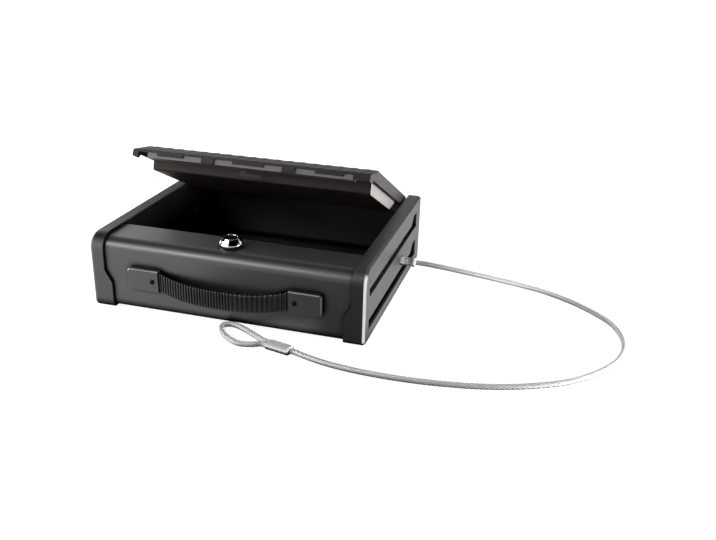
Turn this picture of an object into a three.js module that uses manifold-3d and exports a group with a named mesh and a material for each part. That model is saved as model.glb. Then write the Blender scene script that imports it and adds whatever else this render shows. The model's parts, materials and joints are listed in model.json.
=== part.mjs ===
// Portable car safe: a folded steel case between two moulded end caps, with a hinged lid,
// a key lock in the front strip, a flexible handle and a steel tether cable.
// Millimetres, +Z up, front toward -Y. The origin is on the ground, under the middle.

import * as THREE from 'three';
import { mergeVertices } from 'three/addons/utils/BufferGeometryUtils.js';
import Module from 'manifold-3d';

const wasm = await Module();
wasm.setup();

// Overall size, and the clearance between pieces that touch
const WIDTH = 356;
const DEPTH = 296;
const HEIGHT = 96;
const GAP = 0.3;

// Moulded end caps
const CAP_WALL = 3.4;
const CAP_FACE = 3.2;
const CAP_RIM = 17.5;
const CAP_FLARE = 9;
const FLARE_LOW = 34;
const FLARE_HIGH = 50;
const CAP_CHAMFER = 3;
const CAP_CHAMFER_SET = 2.2;
const CAP_RADIUS_FRONT = 20;
const CAP_RADIUS_REAR = 5;
const CAP_RADIUS_FOOT = 6;

// Louvred slots in the outer faces of the caps
const SLOT_FROM_FRONT = 17;
const SLOT_FROM_REAR = 26;
const LOWER_SLOT_LOW = 15;
const LOWER_SLOT_HIGH = 38;
const UPPER_SLOT_BELOW_TOP = 17;
const UPPER_SLOT_HEIGHT = 21;
const LOUVRE_WALL = 2.2;
const LOUVRE_SET = 2.2;
const LOUVRE_DROP = 14.6;
const LOUVRE_FRONT_END = 3;
const LOUVRE_REAR_END = 19;
const SLOT_RADIUS = 1.5;

// Folded sheet case
const SHEET = 1.6;
const BEND = 2.2;
const CASE_END = 8;
const STRIP_DEPTH = 55.3;
const STRIP_LIP = 16;
const BACK_BELOW_HINGE = 5.6;

// Side plates
const SIDE_SHEET = 2;
const SIDE_FLANGE = 11.5;

// Lid, measured from its top face and from its hinge axis
const LID_OPEN = 27;
const LID_SHEET = 1.6;
const LID_SIDE_GAP = 1.4;
const LID_FRONT_GAP = 5;
const LID_LEVEL = 1;
const LID_REAR = 3;
const LID_BEVEL = 37.5;
const LID_BEVEL_DROP = 11.7;
const LID_LIP = 9.3;
const LID_SIDE = 16;
const LID_TOE = 14;
const LID_EDGE = 1.2;
const RIDGE_MARGIN = 14;
const RIDGE_WIDTH = 9;
const RIDGE_SLOPE = 1.6;
const RIDGE_HEIGHT = 0.4;
const RIDGE_COUNT = 18;

// Windows in the lid's front lip, each with a tab over its middle
const MIDDLE_WINDOW_HALF = 45;
const MIDDLE_TAB_HALF = 20.5;
const SIDE_TAB_HALF = 18;
const LIP_POST = 17;
const LIP_END = 8.3;
const WINDOW_TOP = 2.6;
const TAB_DROP = 3.6;

// Pan under the lid, and the channel behind its lip
const PAN_SHEET = 1.2;
const PAN_SIDE_GAP = 7.8;
const PAN_DROP = 30;
const PAN_FRONT = 39;
const PAN_FRONT_DRAFT = 5.5;
const PAN_REAR = 26;
const PAN_REAR_SHOULDER = 15;
const PAN_REAR_DRAFT = 21;
const PAN_RADIUS = 3;
const CHANNEL_SHEET = 1.6;
const CHANNEL_FLANGE = 12;
const CHANNEL_END = 20.3;

// Piano hinge
const HINGE_END = 6.8;
const HINGE_KNUCKLES = 9;
const KNUCKLE_RADIUS = 3.5;
const PIN_RADIUS = 1.6;
const LEAF = 1.2;
const BACK_LEAF_HEIGHT = 20;
const LID_LEAF_DEPTH = 22;
const HINGE_RUNNING_GAP = 0.4;

// Key lock in the front strip
const LOCK_FROM_FRONT = 29;
const LOCK_HEIGHT = 13;
const LOCK_TOP_RADIUS = 11.3;
const LOCK_BELLY_RADIUS = 14.4;
const LOCK_BELLY_HEIGHT = 5.2;
const LOCK_FOOT_RADIUS = 9.8;
const LOCK_THREAD_RADIUS = 8.5;
const LOCK_REACH = 19.8;
const PLUG_RADIUS = 7.2;
const LOCK_ROUND = 0.6;
const LOCK_BELLY_ROUND = 1.4;
const PLUG_SINK = 0.8;
const KEYWAY_LENGTH = 9;
const KEYWAY_WIDTH = 2.2;
const KEYWAY_DEPTH = 9;
const TANG = 7;
const LOCK_NUT_FLATS = 21;
const LOCK_NUT_HEIGHT = 5;
const CAM_SHEET = 2;
const CAM_REACH = 54;
const CAM_WIDTH = 13;
const CAM_TIP = 8;
const CAM_ROUND = 2.5;
const CAM_SCREW_HEAD = 4.6;
const CAM_SCREW_HEAD_HEIGHT = 2.4;
const CAM_SCREW_RADIUS = 1.9;
const CAM_SCREW_LENGTH = 8;

// Strike under the lid, which the cam turns into
const STRIKE_SHEET = 2;
const STRIKE_BEHIND = 15;
const STRIKE_HALF_WIDTH = 14;
const STRIKE_BAR = 4;
const STRIKE_PLAY = 0.9;
const STRIKE_STEM = 8;
const STRIKE_FLANGE = 14;

// Handle: two covers, the ribbed strap between them, and their fasteners
const COVER_FROM_CAP = 34.5;
const COVER_LENGTH = 41.5;
const COVER_LEVEL = 45.8;
const COVER_HEIGHT = 28.6;
const COVER_PROUD = 8;
const COVER_RADIUS = 3.5;
const COVER_CHAMFER = 1.2;
const COVER_MOUTH = 16;
const HANDLE_SCREW_INSET = 8;
const HANDLE_HEAD_RADIUS = 3.2;
const HANDLE_HEAD_HEIGHT = 1.9;
const HANDLE_SEAT = 0.8;
const STRAP_WIDTH = 24.6;
const STRAP_THICK = 4.4;
const STRAP_SAG = 8.8;
const STRAP_REACH = 12;
const STRAP_CLOSE_RIBS = 26;
const STRAP_OPEN_RIBS = 12;
const STRAP_OPEN_FROM = 12;
const STRAP_GROOVE = 1;
const STRAP_FULLNESS = 2.6;
const RIB_CREST = 1.7;
const RIB_FOOT = 2.6;
const TONGUE_THICK = 2.4;
const TONGUE_LENGTH = 13;
const TONGUE_WIDTH = 22;

// Small screws and nuts
const SCREW_RADIUS = 1.7;
const SCREW_HOLE = 2;
const CAP_SCREW_HEAD_RADIUS = 4;
const CAP_SCREW_HEAD_HEIGHT = 2.2;
const CAP_SCREW_LENGTH = 11;
const BOSS_RADIUS = 4;
const BOSS_FROM_FRONT = 50;
const BOSS_FROM_REAR = 50;
const BOSS_LEVELS = [9.4, 48];
const SMALL_NUT_FLATS = 7;
const SMALL_NUT_HEIGHT = 3;

// Tether cable: ferrule through the right cap, free cable, crimped sleeve and eye
const FERRULE_FROM_FRONT = 182;
const FERRULE_LEVEL = 39;
const FERRULE_OUT = 20;
const FERRULE_RADIUS = 5.7;
const FERRULE_COLLAR_RADIUS = 6.2;
const FERRULE_COLLAR = 4;
const FERRULE_HOLE = 6.6;
const FERRULE_STUD_RADIUS = 4;
const FERRULE_STUD = 9;
const ANCHOR_NUT_FLATS = 13;
const ANCHOR_NUT_HEIGHT = 5;
const CABLE_RADIUS = 3.4;
const CABLE_REST = 3.45;
const CABLE_SIDES = 10;
const CABLE_STEPS = 64;
const EYE_STEPS = 26;
const SLEEVE_WIDTH = 17;
const SLEEVE_HEIGHT = 9.2;
const SLEEVE_ROUND = 1.5;

// Facets on small bends, on turned pieces and on bores
const ARC_STEPS = 6;
const TURN_STEPS = 36;
const SMALL_STEPS = 16;

// Places that follow from the sizes above, in the case's own frame: Y runs back from the
// front plane of the caps
const capInner = WIDTH / 2 - CAP_RIM;
const sideOuter = capInner - GAP;
const sideInner = sideOuter - SIDE_SHEET;
const caseFace = CAP_WALL + GAP;
const caseTop = HEIGHT - caseFace;
const caseBack = DEPTH - caseFace;
const stripRear = caseFace + STRIP_DEPTH;
const lidTop = HEIGHT - LID_LEVEL;
const lidHalf = sideInner - LID_SIDE_GAP;
const lidFront = stripRear + LID_FRONT_GAP;
const axisBelowLid = KNUCKLE_RADIUS + GAP + LID_SHEET;
const hingeY = caseBack - SHEET - GAP - KNUCKLE_RADIUS;
const hingeZ = lidTop - axisBelowLid;
const backTop = hingeZ - BACK_BELOW_HINGE;
const lidReach = hingeY - lidFront;
const bevelStart = lidReach - LID_BEVEL;
const lipBottom = LID_BEVEL_DROP + LID_LIP;
const lockTop = caseTop + GAP + LOCK_HEIGHT;
const barrelBottom = caseTop - LOCK_REACH;
const camTop = barrelBottom - GAP;
const middleY = (DEPTH - STRAP_REACH) / 2;
const upperSlotHigh = HEIGHT - UPPER_SLOT_BELOW_TOP;
const lowerSlot = { low: LOWER_SLOT_LOW, high: LOWER_SLOT_HIGH };
const upperSlot = { low: upperSlotHigh - UPPER_SLOT_HEIGHT, high: upperSlotHigh };
const ridgePitch = (2 * (lidHalf - RIDGE_MARGIN)) / (RIDGE_COUNT - 1);
const sideWindowFrom = MIDDLE_WINDOW_HALF + LIP_POST;
const sideWindowTo = lidHalf - LIP_END;
const sideTabMiddle = (sideWindowFrom + sideWindowTo) / 2;
const panHalf = lidHalf - PAN_SIDE_GAP;
const channelHalf = lidHalf - CHANNEL_END;
const hingeHalf = lidHalf - HINGE_END;
const coverOuter = capInner - COVER_FROM_CAP;
const coverInner = coverOuter - COVER_LENGTH;

// Materials
const steel = (color, roughness) => new THREE.MeshStandardMaterial({ color, roughness, metalness: 0.6 });
const plastic = (color, roughness) => new THREE.MeshStandardMaterial({ color, roughness, metalness: 0 });
const metal = (color, roughness) => new THREE.MeshStandardMaterial({ color, roughness, metalness: 1 });

// Solids

function trianglesOf(geometry) {
  const bare = geometry.clone();
  Object.keys(bare.attributes).forEach((name) => name !== 'position' && bare.deleteAttribute(name));
  const merged = mergeVertices(bare, 1e-4);
  const corners = Array.from(merged.index.array);
  const kept = [];
  for (let i = 0; i < corners.length; i += 3) {
    const [a, b, c] = corners.slice(i, i + 3);
    if (a !== b && b !== c && c !== a) kept.push(a, b, c);
  }
  return { points: merged.attributes.position.array, kept };
}

function turnOutward(points, corners) {
  const [a, b, c] = [new THREE.Vector3(), new THREE.Vector3(), new THREE.Vector3()];
  let volume = 0;
  for (let i = 0; i < corners.length; i += 3) {
    a.fromArray(points, corners[i] * 3);
    b.fromArray(points, corners[i + 1] * 3);
    c.fromArray(points, corners[i + 2] * 3);
    volume += a.dot(b.cross(c));
  }
  return volume < 0 ? corners.slice().reverse() : corners;
}

function solid(geometry) {
  const { points, kept } = trianglesOf(geometry);
  const triVerts = Uint32Array.from(turnOutward(points, kept));
  const vertProperties = Float32Array.from(points);
  return new wasm.Manifold(new wasm.Mesh({ numProp: 3, vertProperties, triVerts }));
}

function geometryOf(body) {
  const { vertProperties, triVerts } = body.getMesh();
  const geometry = new THREE.BufferGeometry();
  geometry.setAttribute('position', new THREE.BufferAttribute(vertProperties, 3));
  geometry.setIndex(new THREE.BufferAttribute(triVerts, 1));
  const facets = geometry.toNonIndexed();
  facets.computeVertexNormals();
  return facets;
}

const join = (first, ...others) => others.reduce((sum, body) => sum.add(body), first);
const cut = (first, ...others) => others.reduce((rest, body) => rest.subtract(body), first);

// The same piece on the left: its mirror image in the plane X = 0
function leftHand(body) {
  return solid(geometryOf(body).scale(-1, 1, 1));
}

// Outlines

// The points of one corner, rounded by an arc
function roundCorner(before, corner, after, steps) {
  const [a, b, radius = 0] = corner;
  const tip = new THREE.Vector2(a, b);
  if (radius <= 0) return [tip];
  const back = new THREE.Vector2(before[0], before[1]).sub(tip).normalize();
  const on = new THREE.Vector2(after[0], after[1]).sub(tip).normalize();
  const half = Math.acos(THREE.MathUtils.clamp(back.dot(on), -1, 1)) / 2;
  const reach = radius / Math.tan(half);
  const centre = back.clone().add(on).normalize().multiplyScalar(radius / Math.sin(half)).add(tip);
  const start = back.multiplyScalar(reach).add(tip).sub(centre).angle();
  const end = on.multiplyScalar(reach).add(tip).sub(centre).angle();
  const sweep = Math.atan2(Math.sin(end - start), Math.cos(end - start));
  return Array.from({ length: steps + 1 }, (_, i) => {
    const angle = start + (sweep * i) / steps;
    return new THREE.Vector2(centre.x + radius * Math.cos(angle), centre.y + radius * Math.sin(angle));
  });
}

// A closed outline from corners [a, b, radius]
function outline(corners, steps = ARC_STEPS) {
  const last = corners.length - 1;
  return corners.flatMap((corner, i) => (
    roundCorner(corners[i === 0 ? last : i - 1], corner, corners[i === last ? 0 : i + 1], steps)));
}

// An open line from corners, with its bends rounded
function bentLine(corners) {
  const last = corners.length - 1;
  return corners.flatMap((corner, i) => (
    i === 0 || i === last
      ? [new THREE.Vector2(corner[0], corner[1])]
      : roundCorner(corners[i - 1], corner, corners[i + 1], ARC_STEPS)));
}

// The same corners moved to their left by the sheet's thickness
function leftOf(corners, thick) {
  const side = (from, to) => {
    const run = new THREE.Vector2(to[0] - from[0], to[1] - from[1]).normalize();
    return new THREE.Vector2(-run.y, run.x);
  };
  return corners.map(([a, b, radius = 0], i) => {
    const before = i > 0 ? side(corners[i - 1], corners[i]) : side(corners[i], corners[i + 1]);
    const after = i < corners.length - 1 ? side(corners[i], corners[i + 1]) : before;
    const shift = before.clone().add(after).multiplyScalar(thick / (1 + before.dot(after)));
    const turnsLeft = before.cross(after) > 0;
    return [a + shift.x, b + shift.y, turnsLeft ? radius - thick : radius + thick];
  });
}

// The section of a folded sheet whose one face runs through the corners
function foldedSheet(corners, thick) {
  return [...bentLine(corners), ...bentLine(leftOf(corners, thick)).reverse()];
}

function rectangle(a0, a1, b0, b1, radius = 0) {
  return outline([[a0, b0, radius], [a1, b0, radius], [a1, b1, radius], [a0, b1, radius]]);
}

function hexagon(flats) {
  const radius = flats / Math.sqrt(3);
  return Array.from({ length: 6 }, (_, i) => (
    new THREE.Vector2(radius * Math.cos((i * Math.PI) / 3), radius * Math.sin((i * Math.PI) / 3))));
}

// Forms

// A prism: an outline in the plane across the axis, (y, z), (x, z) or (x, y)
function prism(axis, points, from, to) {
  const shape = new THREE.Shape(points);
  const geometry = new THREE.ExtrudeGeometry(shape, { depth: to - from, bevelEnabled: false });
  const place = new THREE.Matrix4();
  if (axis === 'x') place.set(0, 0, 1, from, 1, 0, 0, 0, 0, 1, 0, 0, 0, 0, 0, 1);
  if (axis === 'y') place.set(1, 0, 0, 0, 0, 0, -1, to, 0, 1, 0, 0, 0, 0, 0, 1);
  if (axis === 'z') place.set(1, 0, 0, 0, 0, 1, 0, 0, 0, 0, 1, from, 0, 0, 0, 1);
  return solid(geometry.applyMatrix4(place));
}

function block(x0, x1, y0, y1, z0, z1) {
  const geometry = new THREE.BoxGeometry(x1 - x0, y1 - y0, z1 - z0);
  return solid(geometry.translate((x0 + x1) / 2, (y0 + y1) / 2, (z0 + z1) / 2));
}

// A turned piece: the profile's points are [radius, place along the axis]
function turned(axis, profile, x, y, z, steps = TURN_STEPS) {
  const points = profile.map(([radius, along]) => new THREE.Vector2(radius, along));
  const geometry = new THREE.LatheGeometry(points, steps);
  if (axis === 'x') geometry.rotateZ(-Math.PI / 2);
  if (axis === 'z') geometry.rotateX(Math.PI / 2);
  return solid(geometry.translate(x, y, z));
}

function rod(axis, radius, from, to, x, y, z, steps = SMALL_STEPS) {
  return turned(axis, [[0, from], [radius, from], [radius, to], [0, to]], x, y, z, steps);
}

// A closed skin over matching loops, flat at both ends; place gives a loop point's position
function loft(sections, place) {
  const loops = sections.map(({ points }) => (
    THREE.ShapeUtils.isClockWise(points) ? points.slice().reverse() : points));
  const count = loops[0].length;
  const positions = loops.flatMap((loop, i) => loop.flatMap((point) => place(point, sections[i].at)));
  const index = [];
  for (let i = 0; i < loops.length - 1; i += 1) {
    for (let j = 0; j < count; j += 1) {
      const a = i * count + j;
      const b = i * count + ((j + 1) % count);
      index.push(a, b, a + count, b, b + count, a + count);
    }
  }
  const lastLoop = (loops.length - 1) * count;
  THREE.ShapeUtils.triangulateShape(loops[0], []).forEach(([a, b, c]) => index.push(a, c, b));
  THREE.ShapeUtils.triangulateShape(loops.at(-1), []).forEach(([a, b, c]) => (
    index.push(lastLoop + a, lastLoop + b, lastLoop + c)));
  const geometry = new THREE.BufferGeometry();
  geometry.setAttribute('position', new THREE.Float32BufferAttribute(positions, 3));
  geometry.setIndex(index);
  return solid(geometry);
}

// A round tube along a curve
function tube(points, radius, steps) {
  const curve = new THREE.CatmullRomCurve3(points, false, 'centripetal');
  const section = Array.from({ length: CABLE_SIDES }, (_, i) => {
    const angle = (i * 2 * Math.PI) / CABLE_SIDES;
    return new THREE.Vector2(radius * Math.cos(angle), radius * Math.sin(angle));
  });
  const shape = new THREE.Shape(section);
  return solid(new THREE.ExtrudeGeometry(shape, { steps, extrudePath: curve, bevelEnabled: false }));
}

// Groups

const safe = new THREE.Group();
const lid = new THREE.Group();
const lock = new THREE.Group();
safe.position.set(0, -middleY, 0);
lid.position.set(0, hingeY, hingeZ);
lid.rotation.x = -THREE.MathUtils.degToRad(LID_OPEN);
lock.position.set(0, LOCK_FROM_FRONT, 0);
safe.add(lid, lock);

function add(group, name, body, material) {
  const mesh = new THREE.Mesh(geometryOf(body), material);
  mesh.name = name;
  group.add(mesh);
}

const sides = [
  { name: 'left', hand: (body) => leftHand(body), sign: -1 },
  { name: 'right', hand: (body) => body, sign: 1 },
];
const screwPlaces = BOSS_LEVELS.flatMap((z) => [
  { y: BOSS_FROM_FRONT, z },
  { y: DEPTH - BOSS_FROM_REAR, z },
]);

// End caps

function capOutline(inset) {
  const front = Math.max(CAP_RADIUS_FRONT - inset, BEND / 4);
  const rear = Math.max(CAP_RADIUS_REAR - inset, BEND / 4);
  const foot = Math.max(CAP_RADIUS_FOOT - inset, BEND / 4);
  return outline([
    [inset, inset, foot],
    [DEPTH - inset, inset, foot],
    [DEPTH - inset, HEIGHT - inset, rear],
    [inset, HEIGHT - inset, front],
  ]);
}

function louvre({ low, high }) {
  const outer = WIDTH / 2;
  const slot = prism('x', rectangle(SLOT_FROM_FRONT, DEPTH - SLOT_FROM_REAR, low, high, SLOT_RADIUS),
    outer - CAP_FACE - 1, outer + 1);
  const root = high + SLOT_RADIUS / 2;
  const mouth = high - LOUVRE_DROP;
  const blade = prism('y', outline([
    [outer, root], [outer, high], [outer - LOUVRE_SET, mouth],
    [outer - LOUVRE_SET - LOUVRE_WALL, mouth], [outer - LOUVRE_WALL, high], [outer - LOUVRE_WALL, root],
  ]), SLOT_FROM_FRONT + LOUVRE_FRONT_END, DEPTH - SLOT_FROM_REAR - LOUVRE_REAR_END);
  return { slot, blade };
}

// A deep moulded cover: rim over the case, flared foot, louvred outer face, screw bosses
function endCap() {
  const outer = WIDTH / 2;
  const foot = capInner - CAP_FLARE;
  const onSide = (point, x) => [x, point.x, point.y];
  const skin = loft([
    { at: foot, points: capOutline(0) },
    { at: outer - CAP_CHAMFER, points: capOutline(0) },
    { at: outer, points: capOutline(CAP_CHAMFER_SET) },
  ], onSide);
  const hollow = loft([
    { at: foot - 1, points: capOutline(CAP_WALL) },
    { at: outer - CAP_FACE, points: capOutline(CAP_WALL) },
  ], onSide);
  const flare = prism('y', outline([
    [foot - 1, FLARE_LOW - 1], [foot, FLARE_LOW], [capInner, FLARE_HIGH], [capInner, HEIGHT + 1],
    [foot - 1, HEIGHT + 1],
  ]), -1, DEPTH + 1);
  const slots = [lowerSlot, upperSlot].map(louvre);
  const bosses = screwPlaces.map(({ y, z }) => (
    rod('x', BOSS_RADIUS, capInner, outer - CAP_FACE / 2, 0, y, z)));
  const pilots = screwPlaces.map(({ y, z }) => (
    rod('x', SCREW_HOLE, capInner - 1, capInner + CAP_SCREW_LENGTH, 0, y, z)));
  const shell = cut(skin, hollow, flare, ...slots.map(({ slot }) => slot));
  return cut(join(shell, ...slots.map(({ blade }) => blade), ...bosses), ...pilots);
}

const ferruleHole = rod('x', FERRULE_HOLE, capInner, WIDTH / 2 + 1, 0,
  FERRULE_FROM_FRONT, FERRULE_LEVEL, TURN_STEPS);
const cap = endCap();
const capFinish = plastic(0x3a3a3c, 0.5);
add(safe, 'end_cap_left', leftHand(cap), capFinish);
add(safe, 'end_cap_right', cut(cap, ferruleHole), capFinish);

// Case: one folded sheet, from the lip of the front strip round to the top of the back

function caseSheet() {
  const half = WIDTH / 2 - CASE_END;
  const section = foldedSheet([
    [stripRear, caseTop - STRIP_LIP],
    [stripRear, caseTop, BEND],
    [caseFace, caseTop, CAP_RADIUS_FRONT - caseFace],
    [caseFace, caseFace, BEND],
    [caseBack, caseFace, BEND],
    [caseBack, backTop],
  ], SHEET);
  const sheet = prism('x', section, -half, half);
  const lipEnds = sides.map(({ sign }) => {
    const ends = [sign * (sideInner - GAP), sign * (half + 1)].sort((a, b) => a - b);
    return block(...ends, stripRear - SHEET - 1, stripRear + 1,
      caseTop - STRIP_LIP - 1, caseTop - SHEET - GAP);
  });
  const lockHole = rod('z', LOCK_THREAD_RADIUS + GAP, caseTop - SHEET - 1, caseTop + 1,
    0, LOCK_FROM_FRONT, 0, TURN_STEPS);
  const handleHoles = sides.map(({ sign }) => (
    rod('y', SCREW_HOLE, caseFace - 1, caseFace + SHEET + 1, sign * (coverInner + HANDLE_SCREW_INSET),
      0, COVER_LEVEL)));
  return cut(sheet, ...lipEnds, lockHole, ...handleHoles);
}

add(safe, 'case_sheet', caseSheet(), steel(0x2b2b2d, 0.45));

// Side plates: flat ends with a flange turned out under the rim of the cap

function sidePlate() {
  const inset = caseFace + SHEET + GAP;
  const underStrip = caseTop - SHEET - GAP;
  const behindStrip = stripRear + GAP;
  const cornerRadius = CAP_RADIUS_FRONT - inset;
  const plate = prism('x', outline([
    [inset, inset, BEND],
    [DEPTH - inset, inset, BEND],
    [DEPTH - inset, caseTop],
    [behindStrip, caseTop],
    [behindStrip, underStrip],
    [inset, underStrip, cornerRadius],
  ]), sideInner, sideOuter);
  const flange = block(sideInner, sideInner + SIDE_FLANGE, behindStrip, DEPTH - inset,
    caseTop - SIDE_SHEET, caseTop);
  const holes = screwPlaces.map(({ y, z }) => rod('x', SCREW_HOLE, sideInner - 1, sideOuter + 1, 0, y, z));
  return cut(join(plate, flange), ...holes);
}

const plate = sidePlate();
const studHole = rod('x', FERRULE_STUD_RADIUS + GAP, sideInner - 1, sideOuter + 1, 0,
  FERRULE_FROM_FRONT, FERRULE_LEVEL, TURN_STEPS);
const plateFinish = steel(0x1b1b1c, 0.5);
add(safe, 'side_plate_left', leftHand(plate), plateFinish);
add(safe, 'side_plate_right', cut(plate, studHole), plateFinish);

// Cap screws, driven from inside the case into the bosses

function capScrew({ y, z }) {
  const seat = sideInner - GAP;
  const top = seat - CAP_SCREW_HEAD_HEIGHT;
  return turned('x', [
    [0, top],
    [CAP_SCREW_HEAD_RADIUS * 0.6, top],
    [CAP_SCREW_HEAD_RADIUS, seat - CAP_SCREW_HEAD_HEIGHT / 2],
    [CAP_SCREW_HEAD_RADIUS, seat],
    [SCREW_RADIUS, seat],
    [SCREW_RADIUS, sideOuter + CAP_SCREW_LENGTH - GAP],
    [0, sideOuter + CAP_SCREW_LENGTH - GAP],
  ], 0, y, z, SMALL_STEPS);
}

sides.forEach(({ name, hand }) => {
  screwPlaces.forEach((place, i) => {
    add(safe, `cap_screw_${name}_${i + 1}`, hand(capScrew(place)), metal(0x8a8c90, 0.35));
  });
});

// Lid panel: ridged top, bevelled front, lip with windows, side flanges. In the lid's own
// frame Y runs back from the hinge axis and Z up from it.

const lidUp = (drop) => axisBelowLid - drop;

function ridgedSection(drop) {
  const top = [];
  const firstRidge = RIDGE_MARGIN - lidHalf;
  for (let i = 0; i < RIDGE_COUNT; i += 1) {
    const middle = firstRidge + i * ridgePitch;
    const half = RIDGE_WIDTH / 2;
    top.push([middle - half, 0], [middle - half + RIDGE_SLOPE, RIDGE_HEIGHT]);
    top.push([middle + half - RIDGE_SLOPE, RIDGE_HEIGHT], [middle + half, 0]);
  }
  const section = [
    [-lidHalf, -LID_SHEET], [-lidHalf, -LID_EDGE], [-lidHalf + LID_EDGE, 0], ...top,
    [lidHalf - LID_EDGE, 0], [lidHalf, -LID_EDGE], [lidHalf, -LID_SHEET],
  ];
  return section.map(([x, z]) => new THREE.Vector2(x, z + lidUp(drop)));
}

function lipWindow({ from, to, tabFrom, tabTo }) {
  const top = lidUp(LID_BEVEL_DROP + WINDOW_TOP);
  const tab = top - TAB_DROP;
  const below = lidUp(lipBottom) - 1;
  return prism('y', outline([
    [from, below], [to, below], [to, top], [tabTo, top], [tabTo, tab], [tabFrom, tab], [tabFrom, top],
    [from, top],
  ]), -lidReach - 1, -lidReach + LID_SHEET + GAP / 2);
}

const middleWindow = {
  from: -MIDDLE_WINDOW_HALF, to: MIDDLE_WINDOW_HALF, tabFrom: -MIDDLE_TAB_HALF, tabTo: MIDDLE_TAB_HALF,
};
const leftWindow = {
  from: -sideWindowTo,
  to: -sideWindowFrom,
  tabFrom: -sideTabMiddle - SIDE_TAB_HALF,
  tabTo: -sideTabMiddle + SIDE_TAB_HALF,
};
const rightWindow = {
  from: sideWindowFrom,
  to: channelHalf - 1,
  tabFrom: sideTabMiddle - SIDE_TAB_HALF,
  tabTo: sideTabMiddle + SIDE_TAB_HALF,
};

function lidPanel() {
  const top = loft([
    { at: LID_REAR, points: ridgedSection(0) },
    { at: -bevelStart, points: ridgedSection(0) },
    { at: -lidReach, points: ridgedSection(LID_BEVEL_DROP) },
  ], (point, y) => [point.x, y, point.y]);
  const lip = block(-lidHalf, lidHalf, -lidReach, -lidReach + LID_SHEET,
    lidUp(lipBottom), lidUp(LID_BEVEL_DROP + LID_SHEET / 2));
  const flangeOutline = outline([
    [LID_REAR, lidUp(LID_EDGE)],
    [LID_REAR, lidUp(LID_SIDE)],
    [-lidReach + LID_TOE + lipBottom - LID_SIDE, lidUp(LID_SIDE)],
    [-lidReach + LID_TOE, lidUp(lipBottom)],
    [-lidReach, lidUp(lipBottom)],
    [-lidReach, lidUp(LID_BEVEL_DROP + LID_EDGE)],
    [-bevelStart, lidUp(LID_EDGE)],
  ]);
  const flanges = sides.map(({ sign }) => {
    const ends = [sign * (lidHalf - LID_SHEET), sign * lidHalf].sort((a, b) => a - b);
    return prism('x', flangeOutline, ...ends);
  });
  const windows = [leftWindow, middleWindow, rightWindow].map(lipWindow);
  return cut(join(top, lip, ...flanges), ...windows);
}

add(lid, 'lid_panel', lidPanel(), steel(0x2a2625, 0.42));

// Pan that stiffens the lid: an open tray with sloping ends, welded under the top

function panOutline(inset, opening) {
  const seat = lidUp(LID_SHEET + GAP) + opening;
  const floor = lidUp(PAN_DROP) + inset;
  const front = -lidReach + PAN_FRONT + inset;
  const rear = -PAN_REAR - inset;
  return outline([
    [front, seat],
    [front + PAN_FRONT_DRAFT, floor, PAN_RADIUS - inset],
    [rear - PAN_REAR_DRAFT, floor, PAN_RADIUS - inset],
    [rear, lidUp(PAN_REAR_SHOULDER)],
    [rear, seat],
  ]);
}

function lidPan() {
  const tray = prism('x', panOutline(0, 0), -panHalf, panHalf);
  const inner = panHalf - PAN_SHEET;
  return cut(tray, prism('x', panOutline(PAN_SHEET, 1), -inner, inner));
}

add(lid, 'lid_pan', lidPan(), steel(0x2b2322, 0.4));

// Channel behind the lip, seen through the windows

function frontChannel() {
  const face = -lidReach + LID_SHEET + GAP;
  const section = foldedSheet([
    [face + CHANNEL_FLANGE, lidUp(lipBottom)],
    [face, lidUp(lipBottom)],
    [face, lidUp(LID_BEVEL_DROP + LID_SHEET + GAP)],
  ].reverse(), CHANNEL_SHEET);
  return prism('x', section, -channelHalf, channelHalf);
}

add(lid, 'lid_front_channel', frontChannel(), metal(0x9b9b9b, 0.45));

// Strike: a hook under the bevel, open to the side that the cam comes from

function strike() {
  const bevelSlope = LID_BEVEL_DROP / LID_BEVEL;
  const web = -lidReach + STRIKE_BEHIND;
  const underBevel = (y) => lidUp(LID_SHEET / Math.cos(Math.atan(bevelSlope)) + GAP
    + Math.max(0, -y - bevelStart) * bevelSlope);
  const camLevel = camTop - hingeZ;
  const bottom = camLevel - CAM_SHEET - STRIKE_PLAY - STRIKE_BAR;
  const rear = web + STRIKE_FLANGE;
  const section = foldedSheet([
    [web, bottom], [web, underBevel(web)], [rear, underBevel(rear)],
  ].reverse(), STRIKE_SHEET);
  const body = prism('x', section, -STRIKE_HALF_WIDTH, STRIKE_HALF_WIDTH);
  const mouth = block(STRIKE_STEM - STRIKE_HALF_WIDTH, STRIKE_HALF_WIDTH + 1, web - 1, web + STRIKE_SHEET + 1,
    camLevel - CAM_SHEET - STRIKE_PLAY, camLevel + STRIKE_PLAY);
  return cut(body, mouth);
}

add(lid, 'lid_strike', strike(), steel(0x3a3a3a, 0.4));

// Piano hinge: knuckles of the two leaves take turns along the pin

function knuckleSpans(first) {
  const pitch = (2 * hingeHalf) / HINGE_KNUCKLES;
  const spans = [];
  for (let i = first; i < HINGE_KNUCKLES; i += 2) {
    spans.push({ from: -hingeHalf + i * pitch, to: -hingeHalf + (i + 1) * pitch });
  }
  return spans;
}

function hingeLeaf(flat, own, other, y, z) {
  const clear = GAP / 2;
  const rooms = other.map(({ from, to }) => (
    rod('x', KNUCKLE_RADIUS + HINGE_RUNNING_GAP, from - clear, to + clear, 0, y, z, TURN_STEPS)));
  const knuckles = own.map(({ from, to }) => (
    rod('x', KNUCKLE_RADIUS, from + clear, to - clear, 0, y, z, SMALL_STEPS)));
  const bore = rod('x', PIN_RADIUS + GAP, -hingeHalf - 1, hingeHalf + 1, 0, y, z, SMALL_STEPS);
  return cut(join(cut(flat, ...rooms), ...knuckles), bore);
}

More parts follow.
